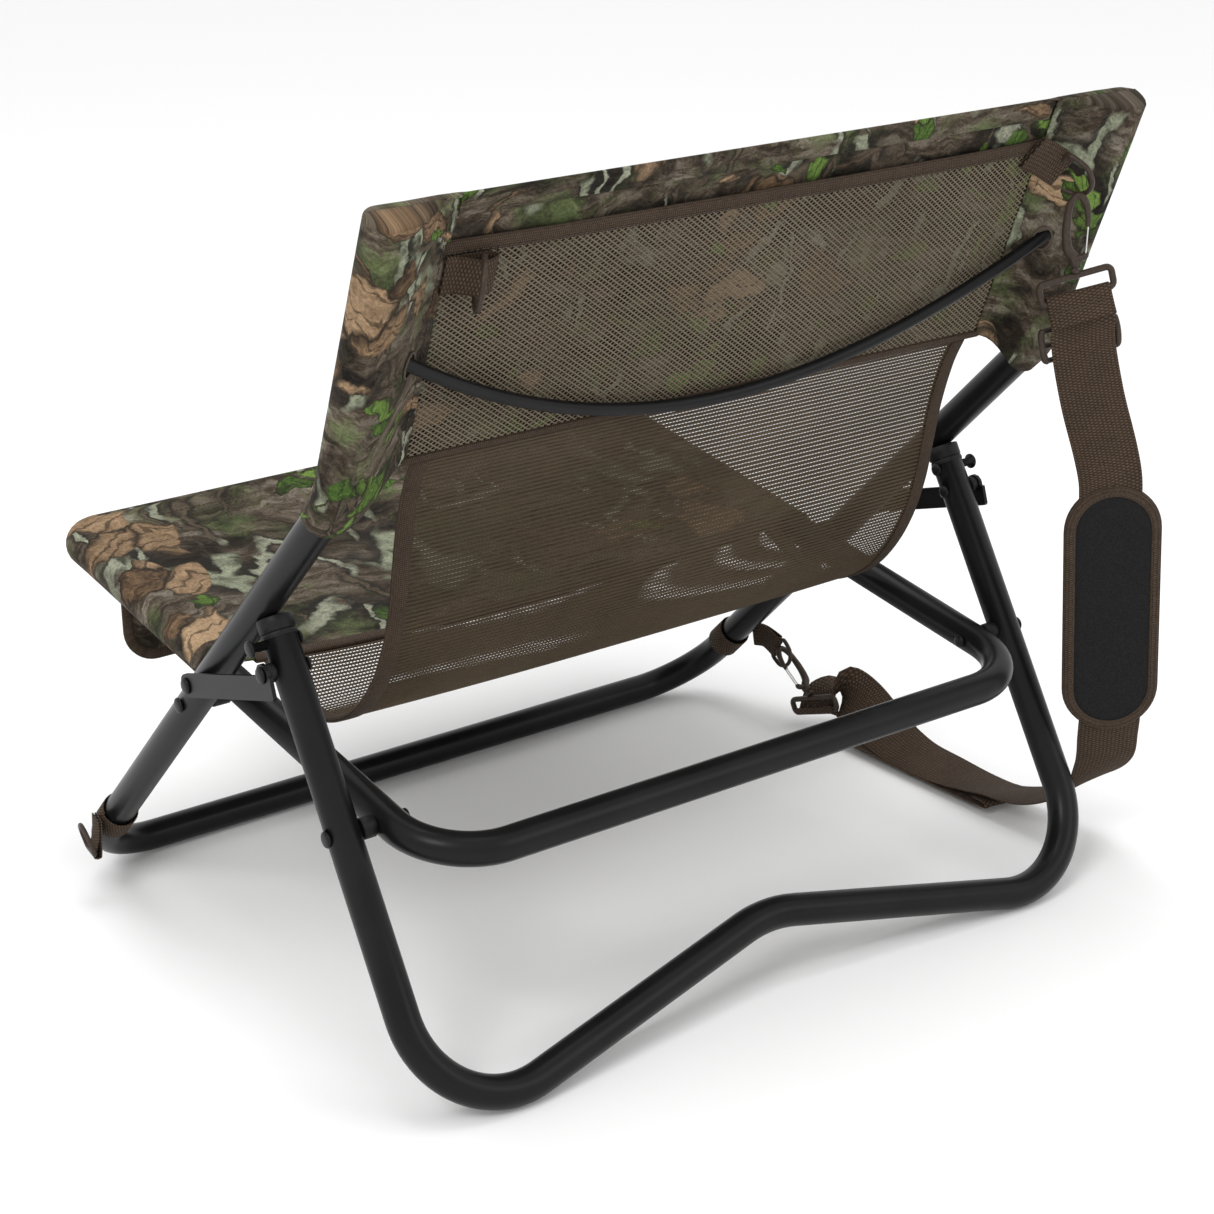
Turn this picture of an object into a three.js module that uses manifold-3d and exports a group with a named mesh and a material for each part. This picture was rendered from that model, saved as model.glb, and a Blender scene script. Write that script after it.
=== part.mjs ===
// Low folding hunting chair with a sling seat, a mesh pocket on the back and a carry strap.
// Millimetres, +Z up. The sitter faces -Y, and the sitter's left is +X.
// The origin is on the floor, under the middle of the front floor bar.
import * as THREE from 'three';
import { mergeVertices } from 'three/addons/utils/BufferGeometryUtils.js';
import Module from 'manifold-3d';

const wasm = await Module();
wasm.setup();

// ---------- driving dimensions ----------
const GAP = 0.3;                    // clearance between neighbouring pieces
const SLIVER = 0.03;                // edges shorter than this are merged after a join or a cut
const TUBE_R = 12.7;                // main tubes, 25.4 mm outside
const TUBE_SIDES = 16;
const TUBE_CORNER_R = TUBE_R / Math.cos(Math.PI / TUBE_SIDES);   // radius over the corners
const BEND_R = 63;                  // centreline radius of the frame bends

const FRONT_HALF = 322;             // half width of the front frame, centre to centre
const FRONT_ANGLE = 43.77;          // front leg's rise towards the rear
const FRONT_LEG = 620;              // floor bar to upper bend, along the leg
const BACK_ANGLE = 67.7;            // back upright's rise
const BACK_TUBE_LENGTH = 208;       // upper bend to the upright's end

const REAR_HALF = 319;              // half width of the rear legs
const REAR_ANGLE = 120.42;
const REAR_FOOT = [542.86, -3.75];  // y, z where the leg line meets the floor bend
const REAR_BEND_R = 73;
const REAR_RISE = 74.2;             // the rear bar's middle above its corners, in the legs' plane
const REAR_TUBE_END = 375;          // end of the tube, along the leg
const REAR_CAP_END = 386;           // end of the saddle cap's cheeks

const SEAT_HALF = 282;
const SEAT_ANGLE = 9.15;            // the seat frame's fall towards the rear
const SEAT_REAR = 275.5;            // pivot to rear bar, along the arm
const SEAT_FRONT = 285;             // pivot to front bar, along the arm
const SEAT_BEND_R = 58;
const SEAT_JOINT = 160;             // where the front and rear halves of the seat frame meet

const PIVOT_SEAT = 306;             // distances of the two pivots up the front leg
const PIVOT_LINK = 344;
const REAR_PIVOT = 225.96;          // seat pivot up the rear leg, from its foot
const LINK_ON_REAR = 122.4;         // from there to the link's pivot
const STUD_ON_REAR = 142;           // and to the stop stud
const RIVET_R = 3.5;
const HEAD_R = 6.2;
const HEAD_T = 2.8;
const SPACER_R = 8;
const LINK_IN = 338.5;              // inner face of the link plates
const LINK_T = 3;
const LINK_W = 18;

const BAR_R = 4.75;                 // curved bar behind the back
const BAR_HALF = 305;
const BAR_DROP = 103;

const CLOTH_T = 2.5;
const SLEEVE_SIDES = 12;
const SLEEVE_R = (TUBE_CORNER_R + GAP) / Math.cos(Math.PI / SLEEVE_SIDES);
const WEB_W = 50;                   // strap webbing
const WEB_T = 2.6;

const rad = (deg) => deg * Math.PI / 180;
const vec = (x, y, z) => new THREE.Vector3(x, y, z);
const leanDir = (deg) => vec(0, Math.cos(rad(deg)), Math.sin(rad(deg)));
const along = (start, dir, d) => start.clone().addScaledVector(dir, d);
const SIDES = [['left', 1], ['right', -1]];

// ---------- materials ----------
const paint = (color, roughness, metalness) => () =>
  new THREE.MeshStandardMaterial({ color, roughness, metalness });
const blackPaint = paint(0x141416, 0.42, 0.5);
const blackSteel = paint(0x0f0f11, 0.35, 0.7);
const blackPlastic = paint(0x0c0c0d, 0.5, 0);
const camoCloth = paint(0x6b6450, 0.9, 0);
const brownMesh = paint(0x6b5848, 0.85, 0);
const brownWebbing = paint(0x5d4b3f, 0.9, 0);
const brownPlastic = paint(0x4a3a33, 0.45, 0);
const steelWire = paint(0xa8a8a8, 0.3, 0.9);
const blackPad = paint(0x0e0e10, 0.95, 0);

const group = new THREE.Group();
function add(name, geometry, material) {
  const mesh = new THREE.Mesh(geometry, material());
  mesh.name = name;
  group.add(mesh);
}

// ---------- joining and cutting ----------
function toSolid(geometry) {
  let g = geometry.clone();
  g.deleteAttribute('normal');
  g.deleteAttribute('uv');
  g = mergeVertices(g, 1e-4);
  return new wasm.Manifold(new wasm.Mesh({
    numProp: 3,
    vertProperties: new Float32Array(g.attributes.position.array),
    triVerts: new Uint32Array(g.index.array),
  }));
}
function toGeometry(solid) {
  const mesh = solid.simplify(SLIVER).getMesh();
  const g = new THREE.BufferGeometry();
  g.setAttribute('position', new THREE.BufferAttribute(new Float32Array(mesh.vertProperties), 3));
  g.setIndex(new THREE.BufferAttribute(new Uint32Array(mesh.triVerts), 1));
  g.computeVertexNormals();
  return g;
}
const joined = (...parts) => toGeometry(parts.map(toSolid).reduce((a, b) => a.add(b)));
const cut = (body, ...tools) =>
  toGeometry(tools.map(toSolid).reduce((a, b) => a.subtract(b), toSolid(body)));

// ---------- sweeps ----------
// A path given by its own stations, so that rings fall only where the piece bends.
class StationPath extends THREE.Curve {
  constructor(points, tangents, reference, referenceIndex = 0) {
    super();
    this.points = points;
    this.tangents = tangents;
    const normals = new Array(points.length);
    const square = (n, t) => n.clone().addScaledVector(t, -n.dot(t)).normalize();
    normals[referenceIndex] = square(reference, tangents[referenceIndex]);
    const carry = (from, to) => {
      const turn = new THREE.Quaternion().setFromUnitVectors(tangents[from], tangents[to]);
      normals[to] = square(normals[from].clone().applyQuaternion(turn), tangents[to]);
    };
    for (let i = referenceIndex; i + 1 < points.length; i++) carry(i, i + 1);
    for (let i = referenceIndex; i > 0; i--) carry(i, i - 1);
    this.normals = normals;
  }
  getPoint(t) {
    return this.points[Math.round(t * (this.points.length - 1))].clone();
  }
  getSpacedPoints() {
    return this.points;
  }
  computeFrenetFrames() {
    const binormals = this.tangents.map((t, i) => t.clone().cross(this.normals[i]));
    return { tangents: this.tangents, normals: this.normals, binormals };
  }
}
// Straight runs between corners, each corner rounded to its radius.
function bentPath(corners, radii, reference, { step = 11 } = {}) {
  const points = [], tangents = [];
  const last = corners.length - 1;
  const dirs = corners.slice(1).map((p, i) => p.clone().sub(corners[i]).normalize());
  points.push(corners[0].clone());
  tangents.push(dirs[0]);
  for (let i = 1; i < last; i++) {
    const [a, b] = [dirs[i - 1], dirs[i]];
    const turn = a.angleTo(b);
    const r = radii[i - 1];
    const reach = r * Math.tan(turn / 2);
    const axis = a.clone().cross(b).normalize();
    const start = along(corners[i], a, -reach);
    const centre = along(start, axis.clone().cross(a), r);
    const n = Math.max(2, Math.ceil(turn / rad(step)));
    for (let k = 0; k <= n; k++) {
      const angle = turn * k / n;
      points.push(start.clone().sub(centre).applyAxisAngle(axis, angle).add(centre));
      tangents.push(a.clone().applyAxisAngle(axis, angle).normalize());
    }
  }
  points.push(corners[last].clone());
  tangents.push(dirs[last - 1]);
  const middle = Math.floor(points.length / 2);
  return new StationPath(points, tangents, reference, middle);
}
function sweep(shape, path) {
  return new THREE.ExtrudeGeometry(shape,
    { steps: path.points.length - 1, bevelEnabled: false, extrudePath: path, curveSegments: 1 });
}
function polygon(r, sides) {
  const pts = [];
  for (let k = 0; k < sides; k++) {
    const a = (k + 0.5) * 2 * Math.PI / sides;
    pts.push(new THREE.Vector2(r * Math.cos(a), r * Math.sin(a)));
  }
  return new THREE.Shape(pts);
}
function ringShape(inner, outer, sides) {
  const shape = polygon(outer, sides);
  shape.holes.push(new THREE.Path(polygon(inner, sides).getPoints(1).reverse()));
  return shape;
}
const tubeShape = polygon(TUBE_CORNER_R, TUBE_SIDES);
const rectShape = (w, t) => new THREE.Shape([
  new THREE.Vector2(-w / 2, -t / 2), new THREE.Vector2(w / 2, -t / 2),
  new THREE.Vector2(w / 2, t / 2), new THREE.Vector2(-w / 2, t / 2)]);

// A turned piece on an axis along X: profile points are [distance along X, radius].
function turned(profile, y, z, side, segments = 12) {
  const pts = profile.map(([x, r]) => new THREE.Vector2(r, x));
  const g = new THREE.LatheGeometry(pts, segments);
  g.rotateZ(-Math.PI / 2);
  if (side < 0) g.rotateY(Math.PI);
  g.translate(0, y, z);
  return g;
}
// A rod or drill between two points.
function rod(from, to, r, segments = 12) {
  const g = new THREE.CylinderGeometry(r, r, from.distanceTo(to), segments);
  const dir = to.clone().sub(from).normalize();
  g.applyQuaternion(new THREE.Quaternion().setFromUnitVectors(vec(0, 1, 0), dir));
  const mid = from.clone().add(to).multiplyScalar(0.5);
  g.translate(mid.x, mid.y, mid.z);
  return g;
}
const crossDrill = (p, x0, x1, r = RIVET_R + 0.35) =>
  rod(vec(x0, p.y, p.z), vec(x1, p.y, p.z), r);
// A slab between two corners.
function slab(x0, x1, y0, y1, z0, z1) {
  const g = new THREE.BoxGeometry(x1 - x0, y1 - y0, z1 - z0);
  g.translate((x0 + x1) / 2, (y0 + y1) / 2, (z0 + z1) / 2);
  return g;
}
// An outline drawn in (y, z), given a thickness along X.
function plate(outline, x0, x1) {
  const shape = new THREE.Shape(outline.map(([y, z]) => new THREE.Vector2(y, z)));
  const g = new THREE.ExtrudeGeometry(shape,
    { depth: x1 - x0, bevelEnabled: false, curveSegments: 1 });
  g.rotateY(Math.PI / 2);
  g.rotateX(Math.PI / 2);
  g.translate(x0, 0, 0);
  return g;
}

// ---------- frame lines ----------
const frontFoot = vec(0, 0, TUBE_R);
const frontDir = leanDir(FRONT_ANGLE);
const backDir = leanDir(BACK_ANGLE);
const upperBend = along(frontFoot, frontDir, FRONT_LEG);
const backTop = along(upperBend, backDir, BACK_TUBE_LENGTH);
const rearFoot = vec(0, REAR_FOOT[0], REAR_FOOT[1]);
const rearDir = leanDir(REAR_ANGLE);
const seatPivot = along(frontFoot, frontDir, PIVOT_SEAT);
const linkPivot = along(frontFoot, frontDir, PIVOT_LINK);
const seatDir = leanDir(-SEAT_ANGLE);
const rearPivot = along(rearFoot, rearDir, REAR_PIVOT);
const linkRear = along(rearPivot, rearDir, LINK_ON_REAR);
const studAt = along(rearPivot, rearDir, STUD_ON_REAR);
const seatRear = along(seatPivot, seatDir, SEAT_REAR);
const seatFront = along(seatPivot, seatDir, -SEAT_FRONT);
const seatJoint = along(seatPivot, seatDir, -SEAT_JOINT);
const at = (p, x) => vec(x, p.y, p.z);

// ---------- front frame: floor bar, front legs and back uprights in one tube ----------
const frontPath = bentPath(
  [at(backTop, FRONT_HALF), at(upperBend, FRONT_HALF), at(frontFoot, FRONT_HALF),
    at(frontFoot, -FRONT_HALF), at(upperBend, -FRONT_HALF), at(backTop, -FRONT_HALF)],
  [BEND_R, BEND_R, BEND_R, BEND_R], vec(0, 0, 1));
const frontTube = sweep(tubeShape, frontPath);
const frontDrills = SIDES.map(([, s]) => crossDrill(seatPivot, s * 300, s * 345));

// ---------- curved bar behind the back ----------
const barEnd = along(upperBend, backDir, 114);
const barDir = leanDir(BACK_ANGLE - 182);
const barPoints = [], barTangents = [];
const BAR_STEPS = 24;
for (let k = 0; k <= BAR_STEPS; k++) {
  const u = 1 - 2 * k / BAR_STEPS;
  barPoints.push(along(at(barEnd, u * BAR_HALF), barDir, BAR_DROP * (1 - u * u)));
  barTangents.push(vec(-BAR_HALF, 0, 0).addScaledVector(barDir, 2 * BAR_DROP * u).normalize());
}
const barPath = new StationPath(barPoints, barTangents, vec(0, 0, 1), BAR_STEPS / 2);
// its flattened ends stop at the uprights
add('front_frame_tube', cut(frontTube, ...frontDrills), blackPaint);
add('back_bar', sweep(polygon(BAR_R, 8), barPath), blackPaint);

// ---------- rear legs: one tube, its floor bar raised in the middle ----------
const rearTopTube = along(rearFoot, rearDir, REAR_TUBE_END);
const rearMiddle = along(rearFoot, rearDir, REAR_RISE);
const rearPath = bentPath(
  [at(rearTopTube, REAR_HALF), at(rearFoot, REAR_HALF), rearMiddle,
    at(rearFoot, -REAR_HALF), at(rearTopTube, -REAR_HALF)],
  [REAR_BEND_R, 110, REAR_BEND_R], vec(0, 1, 0));
const rearDrills = SIDES.flatMap(([, s]) => [rearPivot, linkRear, studAt].map(
  (p) => crossDrill(p, s * 297, s * 336)));
add('rear_leg_tube', cut(sweep(tubeShape, rearPath), ...rearDrills), blackPaint);
// plastic caps with a saddle that rests against the front legs
for (const [side, s] of SIDES) {
  const foot = at(rearFoot, s * REAR_HALF);
  const body = rod(along(foot, rearDir, REAR_TUBE_END + GAP), along(foot, rearDir, REAR_CAP_END),
    TUBE_R + 0.6, 16);
  const leg = rod(at(along(frontFoot, frontDir, 360), s * FRONT_HALF),
    at(along(frontFoot, frontDir, 560), s * FRONT_HALF), TUBE_CORNER_R + GAP, 16);
  add(`rear_leg_cap_${side}`, cut(body, leg), blackPlastic);
}

// ---------- seat frame: a rear U and a front U that meet under the seat cloth ----------
const seatRearPath = bentPath(
  [at(along(seatJoint, seatDir, GAP), SEAT_HALF), at(seatRear, SEAT_HALF),
    at(seatRear, -SEAT_HALF), at(along(seatJoint, seatDir, GAP), -SEAT_HALF)],
  [SEAT_BEND_R, SEAT_BEND_R], vec(0, 0, 1));
const seatDrills = SIDES.flatMap(([, s]) => [seatPivot, rearPivot].map(
  (p) => crossDrill(p, s * 262, s * 300)));
add('seat_rear_tube', cut(sweep(tubeShape, seatRearPath), ...seatDrills), blackPaint);
const seatFrontPath = bentPath(
  [at(seatJoint, SEAT_HALF), at(seatFront, SEAT_HALF), at(seatFront, -SEAT_HALF),
    at(seatJoint, -SEAT_HALF)],
  [SEAT_BEND_R, SEAT_BEND_R], vec(0, 0, 1));
add('seat_front_tube', sweep(tubeShape, seatFrontPath), blackPaint);

// ---------- rivets, spacers, stop studs and link plates ----------
const rivet = (inner, outer) => [
  [inner, 0], [inner, HEAD_R - 1], [inner + HEAD_T - GAP, HEAD_R - 1], [inner + HEAD_T - GAP, RIVET_R],
  [outer - HEAD_T + GAP, RIVET_R], [outer - HEAD_T + GAP, HEAD_R], [outer - 0.9, HEAD_R - 1],
  [outer, HEAD_R - 3], [outer, 0]];
const washer = (x0, x1, r) => [[x0, RIVET_R + 0.4], [x0, r], [x1, r], [x1, RIVET_R + 0.4],
  [x0, RIVET_R + 0.4]];
const wallOut = (half) => half + TUBE_CORNER_R;
const wallIn = (half) => half - TUBE_CORNER_R;
const linkOut = LINK_IN + LINK_T;
for (const [side, s] of SIDES) {
  const turn = (profile, p) => turned(profile, p.y, p.z, s);
  // seat frame to front frame
  add(`seat_pivot_rivet_${side}`, turn(rivet(wallIn(SEAT_HALF) - HEAD_T, wallOut(FRONT_HALF) + HEAD_T),
    seatPivot), blackSteel);
  add(`seat_pivot_spacer_${side}`, turn(washer(wallOut(SEAT_HALF) + GAP, wallIn(FRONT_HALF) - GAP,
    SPACER_R), seatPivot), blackPlastic);
  // rear legs to seat frame
  add(`rear_pivot_rivet_${side}`, turn(rivet(wallIn(SEAT_HALF) - HEAD_T, wallOut(REAR_HALF) + HEAD_T),
    rearPivot), blackSteel);
  add(`rear_pivot_spacer_${side}`, turn(washer(wallOut(SEAT_HALF) + GAP, wallIn(REAR_HALF) - GAP,
    SPACER_R), rearPivot), blackPlastic);
  // link plate: a straight bar with a rounded front end and a raised lobe for its rear pivot
  const span = linkRear.clone().sub(linkPivot);
  const length = span.length();
  const slope = Math.atan2(span.z, span.y) - rad(4.3);
  const lobe = rad(4.3);
  const outline = [];
  const half = LINK_W / 2;
  for (let k = 0; k <= 8; k++) {
    const a = Math.PI / 2 + Math.PI * k / 8;
    outline.push([half * Math.cos(a), half * Math.sin(a)]);
  }
  const pivotU = length * Math.cos(lobe), pivotV = length * Math.sin(lobe);
  outline.push([pivotU + 9, -half], [pivotU + 10.5, -half + 1.5], [pivotU + 10.5, pivotV - 2]);
  for (let k = 0; k <= 6; k++) {
    const a = -0.2 + (Math.PI + 0.2) * k / 6;
    outline.push([pivotU + 8.2 * Math.cos(a), pivotV + 8.2 * Math.sin(a)]);
  }
  outline.push([pivotU - 9, half]);
  const placed = outline.map(([u, v]) => [
    linkPivot.y + u * Math.cos(slope) - v * Math.sin(slope),
    linkPivot.z + u * Math.sin(slope) + v * Math.cos(slope)]);
  const blank = plate(placed, s > 0 ? LINK_IN : -linkOut, s > 0 ? linkOut : -LINK_IN);
  add(`link_plate_${side}`, cut(blank, crossDrill(linkPivot, s * 330, s * 350),
    crossDrill(linkRear, s * 330, s * 350)), blackSteel);
  // the link's front pivot ends at the front leg's wall
  const stub = [[wallOut(FRONT_HALF) + GAP, 0], [wallOut(FRONT_HALF) + GAP, RIVET_R],
    ...rivet(0, linkOut + HEAD_T).slice(4)];
  add(`link_front_rivet_${side}`, turn(stub, linkPivot), blackSteel);
  add(`link_front_spacer_${side}`, turn(washer(wallOut(FRONT_HALF) + GAP, LINK_IN - GAP, SPACER_R - 1),
    linkPivot), blackPlastic);
  add(`link_rear_rivet_${side}`, turn(rivet(wallIn(REAR_HALF) - HEAD_T, linkOut + HEAD_T), linkRear),
    blackSteel);
  add(`link_rear_spacer_${side}`, turn(washer(wallOut(REAR_HALF) + GAP, LINK_IN - GAP, SPACER_R - 1),
    linkRear), blackPlastic);
  add(`stop_stud_${side}`, turn(rivet(wallIn(REAR_HALF) - HEAD_T, 346), studAt), blackSteel);
}

// ---------- back cloth: a panel in front of the uprights, with a pocket round each ----------
const sleeveRing = ringShape(SLEEVE_R, SLEEVE_R + CLOTH_T, SLEEVE_SIDES);
const capRound = polygon(SLEEVE_R + CLOTH_T, SLEEVE_SIDES);
const sleeveStart = along(frontFoot, frontDir, FRONT_LEG - 26);
const acrossBack = leanDir(BACK_ANGLE - 90);          // rearward, square to the back
const panelFrom = 6, panelTo = BACK_TUBE_LENGTH + 8;
const panelFront = -(SLEEVE_R + CLOTH_T), panelT = CLOTH_T;
const backPanelCorner = (d, off) => {
  const p = along(along(upperBend, backDir, d), acrossBack, off);
  return [p.y, p.z];
};
const backPieces = [plate([backPanelCorner(panelFrom, panelFront),
  backPanelCorner(panelFrom, panelFront + panelT), backPanelCorner(panelTo, panelFront + panelT),
  backPanelCorner(panelTo, panelFront)], -FRONT_HALF, FRONT_HALF)];
for (const [, s] of SIDES) {
  const sleevePath = bentPath([at(sleeveStart, s * FRONT_HALF), at(upperBend, s * FRONT_HALF),
    at(along(backTop, backDir, 2), s * FRONT_HALF)], [BEND_R], vec(1, 0, 0));
  backPieces.push(sweep(sleeveRing, sleevePath));
  const capPath = bentPath([at(along(backTop, backDir, 1.5), s * FRONT_HALF),
    at(along(backTop, backDir, 4), s * FRONT_HALF), at(along(backTop, backDir, 8), s * FRONT_HALF)],
  [1], vec(1, 0, 0));
  backPieces.push(sweep(capRound, capPath));
}
const keepOut = SIDES.map(([, s]) => sweep(polygon(SLEEVE_R, SLEEVE_SIDES), bentPath(
  [at(sleeveStart, s * FRONT_HALF), at(upperBend, s * FRONT_HALF),
    at(along(backTop, backDir, 1), s * FRONT_HALF)], [BEND_R], vec(1, 0, 0))));
// slits let the curved bar through to the uprights
const slits = SIDES.map(([, s]) => rod(at(along(barEnd, barDir, 20), s * 280),
  at(along(barEnd, barDir, -4), s * FRONT_HALF), BAR_R + 3, 10));
add('back_panel', toGeometry([...keepOut, ...slits].map(toSolid).reduce((a, b) => a.subtract(b),
  backPieces.map(toSolid).reduce((a, b) => a.add(b)))), camoCloth);

// mesh pocket on the rear of the panel, with a bound top edge
const meshOff = panelFront + panelT + GAP;
const meshTop = 172, meshT = 1.6, MESH_HALF = 262;
const meshOutline = (d0, d1, o0, o1) => [backPanelCorner(d0, o0), backPanelCorner(d0, o1),
  backPanelCorner(d1, o1), backPanelCorner(d1, o0)];
add('back_mesh_pocket', plate(meshOutline(panelFrom, meshTop, meshOff, meshOff + meshT),
  -MESH_HALF, MESH_HALF), brownMesh);
add('pocket_binding', plate(meshOutline(meshTop + GAP, meshTop + 10, meshOff, meshOff + 3.2),
  -MESH_HALF - 4, MESH_HALF + 4), brownWebbing);

// ---------- rear sling: brown mesh from the seat cloth to the back panel ----------
const slingLine = [[206, 223], [232, 216], [262, 212], [292, 215], [320, 225], [345, 242], [367, 267],
  [384, 296], [396, 328], [404, 362], [412, 396], [424, 430]];
function ribbonOutline(line, thickness) {
  const offset = (i, d) => {
    const a = line[Math.max(0, i - 1)], b = line[Math.min(line.length - 1, i + 1)];
    const l = Math.hypot(b[0] - a[0], b[1] - a[1]);
    return [line[i][0] - d * (b[1] - a[1]) / l, line[i][1] + d * (b[0] - a[0]) / l];
  };
  const upper = line.map((_, i) => offset(i, thickness / 2));
  const lower = line.map((_, i) => offset(i, -thickness / 2));
  return [...lower, ...upper.reverse()];
}
const SLING_HALF = 250;
add('rear_sling_mesh', plate(ribbonOutline(slingLine, 2.4), -SLING_HALF, SLING_HALF), brownMesh);
for (const [side, s] of SIDES) {
  add(`sling_binding_${side}`, plate(ribbonOutline(slingLine, 4), s > 0 ? SLING_HALF + GAP : -SLING_HALF - 5,
    s > 0 ? SLING_HALF + 5 : -SLING_HALF - GAP), brownWebbing);
}

// ---------- seat cloth: sleeves round the arms and the front bar, and a sling between ----------
const seatUp = leanDir(90 - SEAT_ANGLE);
const seatSleeveEnd = along(seatPivot, seatDir, -38);
const seatSleevePath = (r) => sweep(r, bentPath(
  [at(seatSleeveEnd, SEAT_HALF), at(seatFront, SEAT_HALF), at(seatFront, -SEAT_HALF),
    at(seatSleeveEnd, -SEAT_HALF)], [SEAT_BEND_R, SEAT_BEND_R], vec(0, 0, 1)));
const SAG = 16, SAG_STEPS = 12, SEAT_CLOTH_HALF = 270.5, SEAT_RISE = 8;
const sagShape = [];
for (let k = 0; k <= SAG_STEPS; k++) {
  const u = -1 + 2 * k / SAG_STEPS;
  sagShape.push([u * SEAT_CLOTH_HALF, SEAT_RISE - SAG * (1 - u * u)]);
}
const sagBand = new THREE.Shape([
  ...sagShape.map(([x, h]) => new THREE.Vector2(x, h - CLOTH_T / 2)),
  ...sagShape.reverse().map(([x, h]) => new THREE.Vector2(x, h + CLOTH_T / 2))]);
const clothStart = along(seatFront, seatDir, 11.5), clothEnd = along(seatPivot, seatDir, -17);
const sagPath = new StationPath([clothStart, clothEnd], [seatDir, seatDir], vec(1, 0, 0));
const flipped = sagPath.computeFrenetFrames().binormals[0].dot(seatUp) < 0;
const seatSheet = sweep(flipped ? new THREE.Shape(sagBand.getPoints(1).map(
  (p) => new THREE.Vector2(-p.x, -p.y))) : sagBand,
new StationPath([clothStart, clothEnd], [seatDir, seatDir], vec(flipped ? -1 : 1, 0, 0)));
add('seat_cloth', toGeometry(toSolid(joined(seatSleevePath(sleeveRing), seatSheet)).subtract(
  toSolid(seatSleevePath(polygon(SLEEVE_R, SLEEVE_SIDES))))), camoCloth);

// skirt that hangs from the front bar
const skirtTop = seatFront.z - SLEEVE_R - CLOTH_T - 1.2;
add('front_skirt', slab(-240, 240, seatFront.y - 3, seatFront.y - 1, skirtTop - 98, skirtTop), camoCloth);
add('skirt_binding', slab(-243, 243, seatFront.y - 3.5, seatFront.y - 0.5, skirtTop - 105,
  skirtTop - 98 - GAP), brownWebbing);

// ---------- rings, hooks and loops ----------
// A closed wire ring through the given corners.
function wireRing(corners, wire, sides = 6) {
  const curve = new THREE.CatmullRomCurve3(corners, true, 'catmullrom', 0.35);
  const n = 20, parts = [];
  const stations = (from, to) => {
    const pts = [], tans = [];
    for (let k = from; k <= to; k++) {
      pts.push(curve.getPointAt((k % n) / n));
      tans.push(curve.getTangentAt((k % n) / n).normalize());
    }
    return [pts, tans];
  };
  const normal = corners[1].clone().sub(corners[0]).cross(corners[2].clone().sub(corners[1]));
  for (const [from, to] of [[0, n / 2], [n / 2, n]]) {
    const [pts, tans] = stations(from, to);
    parts.push(sweep(polygon(wire, sides), new StationPath(pts, tans, normal.normalize())));
  }
  return joined(...parts);
}
// local axes: u across the strap, v along it, w square to both
const place = (o, u, v, w, [a, b, c]) => o.clone().addScaledVector(u, a).addScaledVector(v, b)
  .addScaledVector(w, c);
function frameAt(origin, across, run) {
  const v = run.clone().normalize();
  const u = across.clone().addScaledVector(v, -across.dot(v)).normalize();
  return { origin, u, v, w: u.clone().cross(v) };
}
const pin = (f, list) => list.map((p) => place(f.origin, f.u, f.v, f.w, p));
function dRing(f, width, height, wire) {
  const w = width / 2, h = height;
  return wireRing(pin(f, [[-w, 0, 0], [-w * 0.5, 0, 0], [w * 0.5, 0, 0], [w, 0, 0], [w, h * 0.45, 0],
    [w * 0.62, h * 0.85, 0], [0, h, 0], [-w * 0.62, h * 0.85, 0], [-w, h * 0.45, 0]]), wire);
}
function barBetween(f, a, b, r, sides = 8) {
  const [p, q] = pin(f, [a, b]);
  return rod(p, q, r, sides);
}
// rectangular loop for the webbing
function webLoop(f, w, h, bar) {
  const x = w / 2;
  return joined(barBetween(f, [-x - bar, 0, 0], [x + bar, 0, 0], bar),
    barBetween(f, [-x - bar, h, 0], [x + bar, h, 0], bar),
    barBetween(f, [-x, 0, 0], [-x, h, 0], bar * 0.95), barBetween(f, [x, 0, 0], [x, h, 0], bar * 0.95));
}
// hook body: an open hook on a round neck; its gate closes the open side
function hookBody(f, length, opening, wire) {
  const o = opening / 2;
  const line = pin(f, [[o, length * 0.42, 0], [o * 1.05, length * 0.62, 0], [o * 0.8, length * 0.86, 0],
    [0, length, 0], [-o * 0.8, length * 0.86, 0], [-o, length * 0.6, 0], [-o, length * 0.3, 0],
    [-o * 0.55, length * 0.12, 0], [0, 0, 0]]);
  const curve = new THREE.CatmullRomCurve3(line.slice(1), false, 'catmullrom', 0.4);
  const pts = [], tans = [];
  for (let k = 0; k <= 16; k++) {
    pts.push(curve.getPointAt(k / 16));
    tans.push(curve.getTangentAt(k / 16).normalize());
  }
  const hook = sweep(polygon(wire, 8), new StationPath(pts, tans, f.w));
  return joined(hook, barBetween(f, [0, -1, 0], [0, length * 0.14, 0], wire * 1.5));
}

// ---------- strap ribbons ----------
// Each station: [x, y, z, across x, across y, across z]
function ribbon(stations, width, thickness, steps) {
  const line = new THREE.CatmullRomCurve3(stations.map((s) => vec(s[0], s[1], s[2])));
  const across = new THREE.CatmullRomCurve3(stations.map((s) => vec(s[3], s[4], s[5])));
  const pts = [], tans = [], cross = [];
  for (let k = 0; k <= steps; k++) {
    const t = k / steps;
    pts.push(line.getPoint(t));
    tans.push(line.getTangent(t).normalize());
    cross.push(across.getPoint(t));
  }
  const path = new StationPath(pts, tans, cross[0]);
  path.normals = cross.map((c, i) => c.clone().addScaledVector(tans[i], -c.dot(tans[i])).normalize());
  return sweep(rectShape(width, thickness), path);
}

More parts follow.
